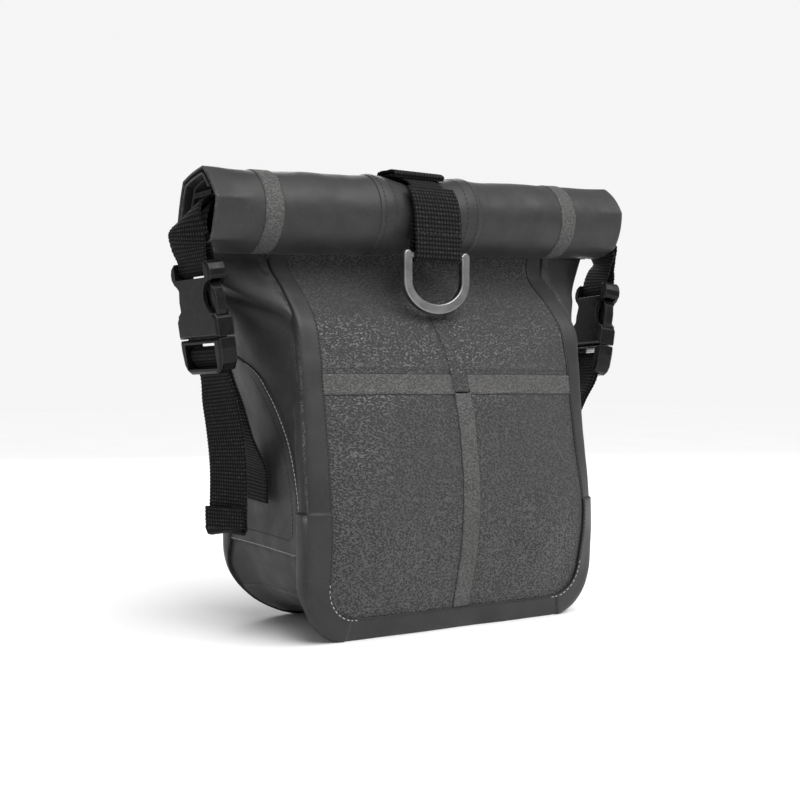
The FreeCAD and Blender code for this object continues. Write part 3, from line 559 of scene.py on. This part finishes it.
def front_panels():
    """Four quarters of grained fabric."""
    share = np.linspace(0.0, 1.0, 56)[None, :]
    for side, sign in SIDES:
        for level, low_z, high_z in (("lower", INSET, SEAM_Z), ("upper", SEAM_Z, TOP_Z)):
            z = np.linspace(low_z, high_z, 80)[:, None]
            below = np.clip(FRONT_R - z, 0, FRONT_R)
            x = sign * share * (HALF_W - INSET - FRONT_R + np.sqrt(FRONT_R**2 - below**2))
            wear_and_shade = 0.25 * step(np.abs(x), 84, 88) * step(z, 100, 160) + 0.2 * hill(z, 150, 3.0)
            # Painted shade: a dark line along the seam ridge just above the horizontal tape.
            wear_and_shade = wear_and_shade - 0.8 * hill(z, 148.6, 0.5) * (np.abs(x) > 7)
            name = f"front_panel_{level}_{side}"
            piece = slab(name, front_points(x, z, 0.0), front_points(x, z, -SHEET), wear_and_shade)
            use(piece, GRAINED, "grained_fabric", "bag", name)


# Places across a seam tape, closer together at its edges.
ACROSS = np.array((0.0, 0.25, 0.6, 1.1, 2.2, 4.0, 6.0, 8.0, 9.8, 10.9, 11.4, 11.75, TAPE_W))


def tape_height(height):
    """Cross-section of a seam tape: thin edges, flat middle."""
    return height * (0.12 + 0.88 * step(np.minimum(ACROSS, TAPE_W - ACROSS), 0.0, 1.1))[None, :]


def tape_edge_shade(width):
    """Mark that paints a line of painted shade along both edges of a seam tape."""
    return -1.0 * (hill(ACROSS, 0, width) + hill(ACROSS, TAPE_W, width))[None, :]


def cross_seam():
    """The horizontal tape in two lengths and the upright tape over them."""
    z = SEAM_Z - TAPE_W / 2 + ACROSS[None, :]
    pieces = []
    for _, sign in SIDES:
        x = np.linspace(sign * 88, sign * 4.0, 90)[:, None]
        top = front_points(x, z, tape_height(TAPE))
        pieces.append(slab("horizontal_seam_tape", top, front_points(x, z, GLUE), tape_edge_shade(0.45)))
    use(join(pieces), TAPED, "seam_tape", "bag", "horizontal_seam_tape")
    z = np.linspace(13.0, TOP_Z, 200)[:, None]
    x = ACROSS[None, :] - TAPE_W / 2 + 1.3 * np.sin(z / 48.0)
    height = tape_height(TAPE) + 0.75 * step(z, 131, 134.5) * (1 - step(z, 145.5, 149))
    top, under = front_points(x, z, height), front_points(x, z, GLUE)
    low = z[:, 0] < SEAM_Z - 5.0
    for half, rows, finish in (("lower", low, TAPED), ("upper", ~low, GRAINED)):
        piece = slab(f"vertical_seam_tape_{half}", top[rows], under[rows], tape_edge_shade(0.45))
        use(piece, finish, "seam_tape", "bag", "vertical_seam_tape")


def join(pieces):
    """Joins pieces into the first one."""
    bpy.ops.object.select_all(action="DESELECT")
    for piece in pieces:
        piece.select_set(True)
    bpy.context.view_layer.objects.active = pieces[0]
    bpy.ops.object.join()
    return pieces[0]


# Cross-section of the frame tape: inwards from the rim, and back from the panel's surface.
FRAME_SECTION = (
    (-0.5, 9.0), (-0.7, 7.0), (-0.75, 4.6), (-0.7, 2.8), (-0.45, 1.3), (0.1, 0.2), (0.9, -0.5),
    (2.2, -0.85), (4.0, -0.9), (6.5, -0.88), (9.5, -0.86), (11.6, -0.84), (12.3, -0.7), (12.7, -0.12),
)
FOLD_T = 0.75                   # thickness of the frame tape


def overlay(p, z):
    """1 where the corner overlay doubles the frame tape."""
    return (1 - step(z, OVERLAY_Z - 0.5, OVERLAY_Z + 0.5)) * step(np.abs(p), 1.1, 1.13)


def frame_tape(name, radius, wide, surface, forward):
    """The band round a panel's rim, folded over its edge, doubled round the bottom corners."""
    p = rim_steps()
    x0, z0, nx, nz = rim(p, radius, wide)
    doubled = overlay(p, z0)
    wrap = 2.4 + 7.0 * step(np.abs(p), 1.75, 2.1)
    tops, unders = [], []
    for inset, depth in FRAME_SECTION:
        for shift, extra, rows in ((0.0, doubled, tops), (FOLD_T, 0.0, unders)):
            e = inset + shift - extra if inset < 1.0 else inset
            d = depth + shift * 0.9 - extra if inset > -0.4 else depth
            x, z = x0 + nx * e, z0 + nz * e
            rows.append(stack(x, surface(x, z) + forward * np.minimum(d, wrap), z))
    top, under = np.stack(tops, axis=1), np.stack(unders, axis=1)
    insets = np.array([inset for inset, _ in FRAME_SECTION])[None, :]
    place, height = np.abs(p)[:, None], z0[:, None]
    lumps = 0.3 * ripple(top, 11.0, 2.0) + 0.3 * ripple(top, 26.0, 6.0)
    top = top + stack(nx, 0, nz)[:, None, :] * (lumps * hill(insets, 0, 2.5))[..., None]
    fold = hill(insets, 0.1, 0.4)
    crease = 0.55 * fold * hill(height, 118, 42) * (1 - step(height, 160, 172))
    crease = crease + 0.9 * fold * hill(height, OVERLAY_Z - 3, 2.5)
    # Painted shade: dark lines at the tape's inner edge, along its fold up under the roll, and at the corner
    # overlay's step and edge.
    painted_shade = hill(insets, 12.7, 0.35) + fold * step(height, 174, 182)
    painted_shade = painted_shade + hill(height, OVERLAY_Z, 0.6) + 0.8 * hill(place + 0.004 * insets, 1.14, 0.012)
    piece = slab(name, top, under, np.clip(crease, 0, 1) - np.clip(painted_shade, 0, 1))
    use(piece, COATED, "seam_tape", "bag", name)


def front_surface(x, z):
    """The front panel as a height field for the tape on it, with the panel's own crumple."""
    points = front_points(np.clip(x, -HALF_W, HALF_W), np.clip(z, 0, TOP_Z), 0.0)
    return points[..., 1]


def back_surface(x, z):
    """The back panel as a height field, the same all across."""
    return back_y(np.clip(z, 0, TOP_Z)) + 0 * x


def body_shell():
    """Side gussets with their corner tapes, and the bottom."""
    depth = np.linspace(0, 1, 46)[None, :]
    for side, sign in SIDES:
        p = sign * spans((1.35, 2, 26), (2, 3, 110))[:, None]
        wear_and_shade = 0.3 * step(-np.minimum(depth, 1 - depth), -0.04, 0.0)
        piece = slab(f"{side}_side_panel", gusset_out(p, depth, 0.0), gusset_out(p, depth, -SHEET), wear_and_shade)
        use(piece, COATED, "coated_fabric", "bag", f"{side}_side_panel")
        bottom_tape(side, sign)
    p = spans((-1.38, -1, 18), (-1, 1, 60), (1, 1.38, 18))[:, None]
    piece = slab("bottom_panel", gusset_out(p, depth, 0.0), gusset_out(p, depth, -SHEET))
    use(piece, COATED, "coated_fabric", "bag", "bottom_panel")


def bottom_tape(side, sign):
    """Tape over the seam between side and bottom, from front to back."""
    start, end = 1.22, 1.64
    p = sign * np.linspace(start, end, 42)[:, None]
    place = np.abs(p)
    height = TAPE * (0.1 + 0.9 * step(np.minimum(place - start, end - place), 0, 0.04))
    t = np.linspace(0.012, 0.988, 60)[None, :]
    wear_and_shade = 0.5 * hill(place, end - 0.01, 0.012) + 0.3 * step(-t, -0.03, 0)
    piece = slab(f"{side}_bottom_tape", gusset_out(p, t, height), gusset_out(p, t, GLUE), wear_and_shade)
    use(piece, COATED, "seam_tape", "bag", f"{side}_bottom_tape")


def back_panel():
    """The back, slack in its middle and more so in the neck."""
    z = np.linspace(INSET, TOP_Z, 120)[:, None]
    low = np.clip(BACK_R - z, 0, BACK_R) / BACK_R
    width = HALF_W - INSET - BACK_WIDE + BACK_WIDE * np.sqrt(1 - low**2)
    x = np.linspace(-1, 1, 90)[None, :] * width
    slack = ripple(stack(x, 0, z), 33.0, 9.0) * (0.4 + 1.2 * step(z, 180, 205)) - 0.6
    y = back_y(z) + np.minimum(slack, 0.1) * step(HALF_W - np.abs(x), 3, 26)
    piece = slab("back_panel", stack(x, y, z), stack(x, y - SHEET, z), 0.5 * step(np.abs(x), 84, 96))
    use(piece, COATED, "coated_fabric", "bag", "back_panel")


def side_patch(side, sign):
    """Reinforcement with a curved front edge, sewn to the side."""
    z, columns = np.linspace(PATCH_LOW, PATCH_TOP, 90), np.linspace(0, 1, 30)
    p = sign * side_place(z)[:, None]
    start = side_share(ROLL_Y + read(PATCH_Z, PATCH_FRONT, z), z)[:, None]
    t = start + (0.955 - start) * columns[None, :]
    reach = (BACK_Y - side_front(z))[:, None] * (t - start)
    edge = np.minimum(np.minimum(reach, 4.0), np.minimum(z - PATCH_LOW, PATCH_TOP - z)[:, None])
    height = TAPE * (0.12 + 0.88 * step(edge, 0, 1.2)) + 0.1
    # Wear specks near the patch's edge, and a line of painted shade right along it.
    wear_and_shade = 0.3 * step(-edge, -1.6, 0) - 0.9 * hill(edge, 0, 0.25)
    piece = slab(f"{side}_side_patch", gusset_out(p, t, height), gusset_out(p, t, 0.03), wear_and_shade)
    use(piece, COATED, "coated_fabric", "bag", f"{side}_side_patch")
    patch_stitches(f"{side}_patch_stitches_outer", sign, 1.6, PALE_THREAD)
    patch_stitches(f"{side}_patch_stitches_inner", sign, 8.5, DARK_THREAD)


def patch_stitches(name, sign, inset, material):
    """Stitches inside the patch's lower and front edges, round their corner."""
    corner_r, low = 5.0, PATCH_LOW + inset * 1.1
    z = np.linspace(low + corner_r, PATCH_TOP - 3.0 - inset, 200)
    y = ROLL_Y + read(PATCH_Z, PATCH_FRONT, z) + inset * 1.05
    turn = np.radians(np.linspace(90, 0, 16))[1:]
    turn_y, turn_z = y[0] + corner_r - corner_r * np.cos(turn), low + corner_r - corner_r * np.sin(turn)
    y = np.concatenate([np.linspace(BACK_Y - 5.0, y[0] + corner_r, 40), turn_y, y])
    z = np.concatenate([np.full(40, low), turn_z, z])
    p, t = sign * side_place(z), side_share(y, z)
    foot = gusset(p, t, TAPE + 0.1)
    up = unit(gusset(p, t, TAPE + 1.1) - foot)
    sew(name, [(foot, up)], material, "coated_fabric", "bag", pitch=2.5, length=2.0, thick=0.2)


# ---- stitches -----------------------------------------------------------------------
def resample(points, spacing, *others):
    """Points evenly spaced along a line, with other rows carried along."""
    length = run(points)
    count = max(2, int(round(length[-1] / spacing)))
    where = np.linspace(0, length[-1], count)
    rows = [np.stack([np.interp(where, length, row[:, k]) for k in range(3)], axis=1)
            for row in (points, *others)]
    return rows, where


def sew(name, lines, material, slot, body, pitch=2.9, length=2.05, thick=0.27):
    """Separate stitches, half sunk in the cloth, along lines of (points, normals)."""
    corners = 6
    turns = np.linspace(0, 2 * math.pi, corners, endpoint=False)
    profile = ((-0.5, 0.35), (-0.36, 0.95), (0.0, 1.1), (0.36, 0.95), (0.5, 0.35))
    last = (len(profile) - 1) * corners
    verts, faces = [], []
    for points, up in lines:
        (place, normal), _ = resample(points, pitch, up)
        along = unit(np.gradient(place, axis=0))
        across = unit(np.cross(normal, along))
        for at, a, b, n in zip(place, along, across, normal):
            base = len(verts)
            for shift, size in profile:
                middle = at + a * shift * length
                for turn in turns:
                    spoke = b * math.cos(turn) * 1.25 + n * math.sin(turn)
                    verts.append(middle + spoke * size * thick)
            for ring in range(base, base + last, corners):
                for k in range(corners):
                    m = (k + 1) % corners
                    faces.append((ring + k, ring + m, ring + corners + m, ring + corners + k))
            faces.append(tuple(base + k for k in reversed(range(corners))))
            faces.append(tuple(base + last + k for k in range(corners)))
    use(new_piece(name, verts, faces), material, slot, body)


def frame_stitches():
    """Black thread along the frame band's inner edge, pale where the bottom corners are worn."""
    p = rim_steps(2.93)
    inset, proud = 11.6, 0.95       # in from the rim, and before the panel
    x0, z0, nx, nz = rim(p, FRONT_R)
    x, z = x0 + nx * inset, z0 + nz * inset
    line = stack(x, front_surface(x, z) - proud - overlay(p, z0), z)
    up = np.tile((0.0, -1.0, 0.0), (len(line), 1))
    worn = (np.abs(p) > 0.98) & (np.abs(p) < 2.02)
    upright = np.abs(p) >= 2.0
    low = np.abs(p) <= 1.0
    left, right = p < 0, p > 0
    sew("frame_stitches", [(line[where], up[where]) for where in (upright & left, upright & right, low)],
        DARK_THREAD, "seam_tape", "bag", pitch=2.6, length=1.7, thick=0.22)
    sew("corner_stitches", [(line[worn & left], up[worn & left]), (line[worn & right], up[worn & right])],
        PALE_THREAD, "seam_tape", "bag", pitch=2.9, length=1.9, thick=0.24)


# ---- roll ---------------------------------------------------------------------------
def roll_points(angle, x, out):
    """The rolled collar's sheet: angle in degrees from +Y upwards, out from its outer face."""
    angle, x = np.broadcast_arrays(np.asarray(angle, float), np.asarray(x, float))
    a = np.radians(angle)
    r = ROLL_R - ROLL_PITCH * (angle - NECK_ANGLE) / 360
    # The open ends spread into a soft hexagon, the left one more.
    corner = math.pi / 3
    hexagon = 1.06 * math.cos(corner / 2) / np.cos((a + 0.25) % corner - corner / 2)
    opened = np.where(x < 0, 0.85, 0.45) * step(np.abs(x), 112, 146) ** 1.3
    r = r * (1 + opened * (hexagon - 1.0))
    # The centre strap draws the roll in, with folds beside it and further out.
    gather = 1.2 * hill(np.abs(x - STRAP_X), 30, 9) - 4.2 * hill(x, STRAP_X, 18)
    gather = gather + 0.5 * hill(x, 70, 22) + 0.5 * hill(x, -78, 20)
    r = r + gather * (0.4 + 0.6 * np.sin(np.clip(a, 0, math.pi)))
    body = stack(x, 10 * np.cos(a), 10 * np.sin(a))
    r = r + 0.4 * ripple(body, 24.0, 4.0) + 0.15 * ripple(body, 8.0, 7.0)
    r = np.minimum(r + ROLL_FULLER, ROLL_R + 2.6) + out
    return stack(x, ROLL_Y + r * np.cos(a), ROLL_Z + r * np.sin(a) + ROLL_TILT * x + ROLL_RISE)


def on_roll(name, angle, x, out, under, wear_and_shade=None):
    """A sheet on the roll between two heights from its outer face."""
    return slab(name, roll_points(angle, x, out), roll_points(angle, x, under), wear_and_shade)


def rolled_top():
    """Two plies of coated fabric rolled one and a half turns, with what is sewn on them."""
    angle = np.linspace(NECK_ANGLE, NECK_ANGLE + 558, 170)[:, None]
    x = spans((-ROLL_HALF, -95, 40), (-95, 95, 110), (95, ROLL_HALF, 40))[None, :]
    outer = on_roll("roll_collar_outer", angle, x, 0.0, -0.9, 0.3 * step(np.abs(x), 143, 145))
    use(outer, COATED, "coated_fabric", "bag", "roll_collar")
    lining = on_roll("roll_collar_lining", angle, x * 0.965, -1.2, -2.2)
    use(lining, COATED, "coated_fabric", "bag")
    # The inner turns, so that nothing shows through between the open ends.
    inner = np.linspace(NECK_ANGLE + 545, NECK_ANGLE + 1940, 280)[:, None]
    core = on_roll("roll_core", inner, np.linspace(-98, 98, 40)[None, :], 0.0, -1.8)
    use(core, COATED, "coated_fabric", "bag")
    around = np.linspace(-45, 262, 130)[:, None]
    for (side, _), start in zip(SIDES, ROLL_TAPE_X):
        across = start + ACROSS[None, :]
        band = on_roll(f"{side}_roll_tape", around, across, tape_height(0.55), 0.05, tape_edge_shade(0.4))
        use(band, TAPED, "seam_tape", "bag", f"{side}_roll_tape")
    half = 36
    across = STRAP_X + np.linspace(-half, half, 60)[None, :]
    edge = half - np.abs(across - STRAP_X)
    patch = on_roll("roll_reinforcement", around, across, 0.08 + 0.35 * step(edge, 0, 1.2), 0.03,
                    0.2 * hill(edge, 0.7, 0.4))
    use(patch, COATED, "coated_fabric", "bag", "roll_reinforcement")
    lines = []
    ring = np.linspace(0, 250, 160)
    for offset in (-32.5, -25.5, 25.5, 32.5):
        place = roll_points(ring, STRAP_X + offset, 0.4)
        lines.append((place, unit(roll_points(ring, STRAP_X + offset, 2.0) - place)))
    sew("roll_stitches", lines, DARK_THREAD, "coated_fabric", "bag")


# ---- webbing ------------------------------------------------------------------------
def curve(points, rows):
    """A smooth line through points, with other values carried along it."""
    chord = run(points)
    fine = np.linspace(0, chord[-1], int(chord[-1] / 0.35))
    tables = [np.reshape(row, (len(chord), -1)) for row in (points, *rows)]
    return [np.stack([read(chord, column, fine) for column in table.T], axis=1) for table in tables]


def strap(name, points, across, width, thick, pitch, material, body, cup=None, narrow=None):
    """Ribbed webbing along a line; across are its width directions.

    cup bows its section and narrow scales its width, each with one value per point.
    """
    n = len(points)
    line, side, cup, narrow = curve(points, [across, np.zeros(n) if cup is None else cup,
                                             np.ones(n) if narrow is None else narrow])
    (line, side), length = resample(line, pitch / 5, side)
    share = np.linspace(0, 1, len(line))
    cup, narrow = (np.interp(share, np.linspace(0, 1, len(row)), row[:, 0]) for row in (cup, narrow))
    along = unit(np.gradient(line, axis=0))
    side = unit(side - along * np.sum(side * along, axis=1, keepdims=True))
    up = np.cross(side, along)
    phase = np.cos(2 * math.pi * length / pitch)[:, None]
    half = width / 2
    s = np.array((-1.0, -0.985, -0.93, -0.7, -0.45, -0.15, 0.15, 0.45, 0.7, 0.93, 0.985, 1.0))
    shape = np.array((0.25, 0.72, 1.0, 1.0, 1.0, 1.0, 1.0, 1.0, 1.0, 1.0, 0.72, 0.25))
    section = np.concatenate([s, s[::-1]])[None, :]
    face = np.concatenate([shape, -shape[::-1]])[None, :]
    rib = 1.0 + 0.13 * phase
    edge = 1.0 + 0.012 * phase * (np.abs(section) > 0.9)
    lift = face * rib * thick / 2 + cup[:, None] * (1 - section ** 2)
    reach = section * edge * half * narrow[:, None]
    rings = line[:, None, :] + side[:, None, :] * reach[..., None] + up[:, None, :] * lift[..., None]
    piece = ring_solid(name, rings, length, section[0] * half)
    return use(piece, material, "webbing", body, name)


def side_strap(name, points, across, body, **shape):
    """Webbing of the side straps' size."""
    return strap(name, points, across, WEB_W, WEB_T, WEB_PITCH, WEBBING, body, **shape)


def buckle_axes(sign):
    """u across, v out of the face, w up along the left buckle, mirrored for the right one."""
    w = np.array((-math.sin(LEAN), 0.0, math.cos(LEAN)))
    v = np.array((-math.cos(TWIST) * math.cos(LEAN), -math.sin(TWIST), -math.cos(TWIST) * math.sin(LEAN)))
    v = unit(v - w * (v @ w))
    u = np.cross(v, w)
    flip = np.array((-sign, 1.0, 1.0))
    return u * flip, v * flip, w * flip, BUCKLE_AT * flip


# Paths of the webbing in a buckle's own frame: out of its face, up along it and across it.
UPPER_PATH = (
    (-22.0, 66.5, 2), (-10.0, 68.0, 1.5), (-2.5, 67.5, 0.5), (2.2, 63.5, -0.5), (4.4, 57, -1), (4.0, 49, 0),
    (2.9, 42, 0), (2.45, 36.6, 0), (1.4, 34.3, 0), (0.0, 33.9, 0), (-1.4, 34.3, 0), (-2.45, 36.6, 0),
    (-2.7, 42, 0), (-1.2, 50, -0.8), (0.6, 57, -1.6), (-2.0, 62.5, -1.4), (-7.0, 65.2, 0), (-21.0, 64.0, 1),
)
UPPER_CUP = (0.4, 0.6, 1.0, 1.4, 1.2, 0.6, 0.1, 0, 0, 0, 0, 0, 0, -0.5, -1.0, -0.8, -0.5, -0.4)
UPPER_NARROW = (0.9, 0.9, 0.92, 0.95, 0.98, 1, 1, 1, 1, 1, 1, 1, 1, 0.98, 0.95, 0.92, 0.9, 0.9)
BAR_LOOP = (
    (-2.5, -8.0), (-2.0, -6.2), (0.0, -5.0), (2.0, -6.2), (2.5, -8.0), (2.3, -10.6), (0.7, -13.2),
    (-0.7, -15.8), (-1.2, -20.5),
)
TAIL = (
    (-1.4, -34, -0.5), (-1.6, -50, -1.0), (-0.6, -70, -1.0), (1.6, -88, 0), (3.4, -101, 1),
    (4.0, -105, 1.2), (5.0, -105.9, 1.2), (5.8, -104.6, 1.2), (5.6, -100, 1.1), (4.6, -92, 0.8),
)
TAIL_TWIST = (0.14, 0.2, 0.22, 0.24, 0.26, 0.26, 0.26, 0.26, 0.26, 0.26)


def side_straps():
    """Upper straps into the sockets, and lower straps round the plugs' bars."""
    for name, sign in SIDES:
        u, v, w, at = buckle_axes(sign)

        def spot(v_part, w_part, u_part=0.0):
            return at + v * v_part + w * w_part + u * u_part

        twist = unit(u * 0.9 - w * 0.5 + v * 0.15)
        across = [twist] * 3 + [unit(twist + u * 0.6), unit(u + v * 0.22), unit(u + v * 0.12)]
        across += [u] * 8 + [unit(twist + u * 1.5), unit(twist + u * 0.6), twist, twist]
        side_strap(f"{name}_upper_strap", [spot(*place) for place in UPPER_PATH], across, "bag",
                   cup=UPPER_CUP, narrow=UPPER_NARROW)

        mirror = np.array((-sign, 1.0, 1.0))
        ahead = np.array((0.0, 1.0, 0.0))
        sewn, leaves = np.array((-103.6, -8.0, 75.0)) * mirror, np.array((-104.4, -9.0, 90.0)) * mirror
        top = spot(-3.5, -20.5)
        anchor = [sewn, leaves, leaves * 0.62 + top * 0.38 + v * 0.8, leaves * 0.3 + top * 0.7, top,
                  spot(-2.6, -12.0)]
        across = [ahead, ahead, unit(ahead * 0.7 + u * 0.3), unit(ahead * 0.3 + u * 0.7), u, u]
        across += [u] * len(BAR_LOOP)
        if sign < 0:
            rest = [spot(*place) for place in TAIL]
            across += [unit(u + v * k) for k in TAIL_TWIST]
        else:
            apart = np.array((2.3, 0.0, 0.6))
            rest = [leaves + (top - leaves) * k + apart for k in (0.72, 0.45, 0.2, 0.0)]
            rest.append(sewn + apart - (0, 0, 8))
            across += [unit(u + ahead)] + [ahead] * 4
        points = anchor + [spot(*place) for place in BAR_LOOP] + rest
        piece = side_strap(f"{name}_lower_strap", points, across, None)
        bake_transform(piece)


def broad_strap(name, path, width, thick, narrow=None):
    """Broad webbing in the middle, along a path of (y, z) measured from the roll's axis and the floor."""
    points = [np.array((STRAP_X, ROLL_Y + y, z)) for y, z in path]
    across = [np.array((1.0, 0.0, 0.0))] * len(path)
    strap(name, points, across, width, thick, LOOP_PITCH, BROAD_WEBBING, "bag", narrow=narrow)


def centre_strap():
    """Strap from the back over the roll, the ring's loop in front and the folded tab on top."""
    r = ROLL_R + TAPE + LOOP_T / 2 + 0.3
    sunk = 2.4                      # how far the strap presses into the roll's top
    path = [(58.3, 171.0), (57.6, 176.0), (52.8, 182.2), (41.6, 191.4), (33.0, 203.0), (29.8, 222.0)]
    gathered = [1.0] * len(path)
    for degrees in range(-4, 166, 10):
        a = math.radians(degrees)
        here = r - sunk * max(math.sin(a), 0) ** 2
        path.append((here * math.cos(a), ROLL_Z + here * math.sin(a)))
        gathered.append(1.0 - 0.3 * float(hill(degrees, 122, 32)))
    broad_strap("centre_strap", path, LOOP_W - 1, LOOP_T, gathered)

    reach = RING_BAR + 0.4 + LOOP_T / 2
    turn = [(RING_D + reach * math.cos(math.radians(a)), RING_Z - reach * math.sin(math.radians(a)))
            for a in range(0, 181, 20)]
    loop = [(20.4, 254.0), (24.2, 249.0), (27.2, 241.0), (28.5, 231.0), (RING_D + reach - 0.1, 220.0)]
    loop += turn + [(RING_D - reach + 0.3, 219.0), (RING_D - reach + 1.2, 226.0),
                    (RING_D - reach + 1.6, 236.0)]
    broad_strap("ring_loop", [(-d, z) for d, z in loop], LOOP_W, LOOP_T)

    top = ROLL_Z + r - sunk + LOOP_T
    tab = ((-6, -0.2), (0, 0.1), (6, 0.1), (8.6, 0.8), (8.8, 2.0), (6, 2.9), (0, 2.7), (-7, 2.3), (-9.2, 1.2),
           (-8.6, -1.2))
    broad_strap("folded_tab", [(y, top + rise) for y, rise in tab], LOOP_W + 3, 1.5)

    seam = STRAP_X + np.linspace(2 - LOOP_W / 2, LOOP_W / 2 - 2, 30)
    line = stack(seam, ROLL_Y - 28.75 - LOOP_T / 2, 227.0)
    up = np.tile((0.0, -1.0, 0.0), (len(line), 1))
    sew("loop_stitches", [(line, up)], DARK_THREAD, "webbing", "bag", pitch=2.6, length=1.9)


# ---- scene --------------------------------------------------------------------------
def floor():
    """A wide pale floor under the bag."""
    half = 6.0
    corners = [(-half, -half, 0), (half, -half, 0), (half, half, 0), (-half, half, 0)]
    mesh = bpy.data.meshes.new("floor")
    mesh.from_pydata(corners, [], [(0, 1, 2, 3)])
    ground = bpy.data.objects.new("floor", mesh)
    bpy.context.scene.collection.objects.link(ground)
    s = Shader("pale_floor", Specular_IOR_Level=0.2)
    tone = s.mix(s.noise(3.0, 3.0), grey(0.9), grey(0.93))
    mesh.materials.append(s.done(tone, s.span(s.noise(9.0), 0.3, 0.7, 0.6, 0.7)))


def lamp(name, place, aim, size, power):
    """A rectangular area light that points at its aim."""
    light = bpy.data.lights.new(name, "AREA")
    light.shape, light.size, light.size_y, light.energy = "RECTANGLE", size[0], size[1], power
    lamp_object = bpy.data.objects.new(name, light)
    bpy.context.scene.collection.objects.link(lamp_object)
    lamp_object.location = place
    lamp_object.rotation_euler = (Vector(aim) - Vector(place)).to_track_quat("-Z", "Y").to_euler()


def studio():
    """A broad overhead sun, soft boxes round the bag, dim even light and a pale backdrop."""
    world = bpy.data.worlds.new("studio")
    bpy.context.scene.world = world
    world.use_nodes = True
    tree = world.node_tree
    background = tree.nodes["Background"]
    background.inputs["Color"].default_value = (1, 1, 1, 1)
    as_light, as_backdrop = 0.34, 0.92
    strength = tree.nodes.new("ShaderNodeMapRange")
    strength.inputs[3].default_value, strength.inputs[4].default_value = as_light, as_backdrop
    tree.links.new(tree.nodes.new("ShaderNodeLightPath").outputs["Is Camera Ray"], strength.inputs[0])
    tree.links.new(strength.outputs[0], background.inputs["Strength"])
    shines = Vector((-0.1, 0.75, -1.3))
    sun = bpy.data.objects.new("overhead", bpy.data.lights.new("overhead", "SUN"))
    sun.data.energy, sun.data.angle = 2.7, math.radians(60)
    sun.rotation_euler = shines.to_track_quat("-Z", "Y").to_euler()
    bpy.context.scene.collection.objects.link(sun)
    aim = (0, -0.02, 0.14)
    lamp("key", (-0.15, -1.3, 0.95), aim, (0.9, 0.6), 7)
    lamp("side", (-1.25, -0.65, 0.45), aim, (0.05, 0.7), 0.35)
    lamp("fill", (0.9, -0.9, 1.3), aim, (0.5, 0.5), 4)
    lamp("back", (0.5, 1.2, 0.9), aim, (1.0, 0.6), 7)
    bpy.context.scene.view_settings.view_transform = "Standard"


def camera():
    """The photo's viewpoint: front left, level with the middle of the bag."""
    lens = bpy.data.cameras.new("camera")
    lens.lens, lens.sensor_width = 58.5, 36.0
    viewer = bpy.data.objects.new("camera", lens)
    bpy.context.scene.collection.objects.link(viewer)
    viewer.location = (-0.449, -0.655, 0.140)
    look = Vector((0.565, 0.825, -0.012))
    viewer.rotation_euler = look.to_track_quat("-Z", "Y").to_euler()
    bpy.context.scene.camera = viewer


def main():
    finish_cad_nodes()
    camera()
    front_panels()
    cross_seam()
    frame_tape("front_frame_tape", FRONT_R, FRONT_R, front_surface, 1.0)
    body_shell()
    back_panel()
    frame_tape("back_frame_tape", BACK_R, BACK_WIDE, back_surface, -1.0)
    for side, sign in SIDES:
        side_patch(side, sign)
    frame_stitches()
    rolled_top()
    side_straps()
    centre_strap()
    floor()
    studio()


main()
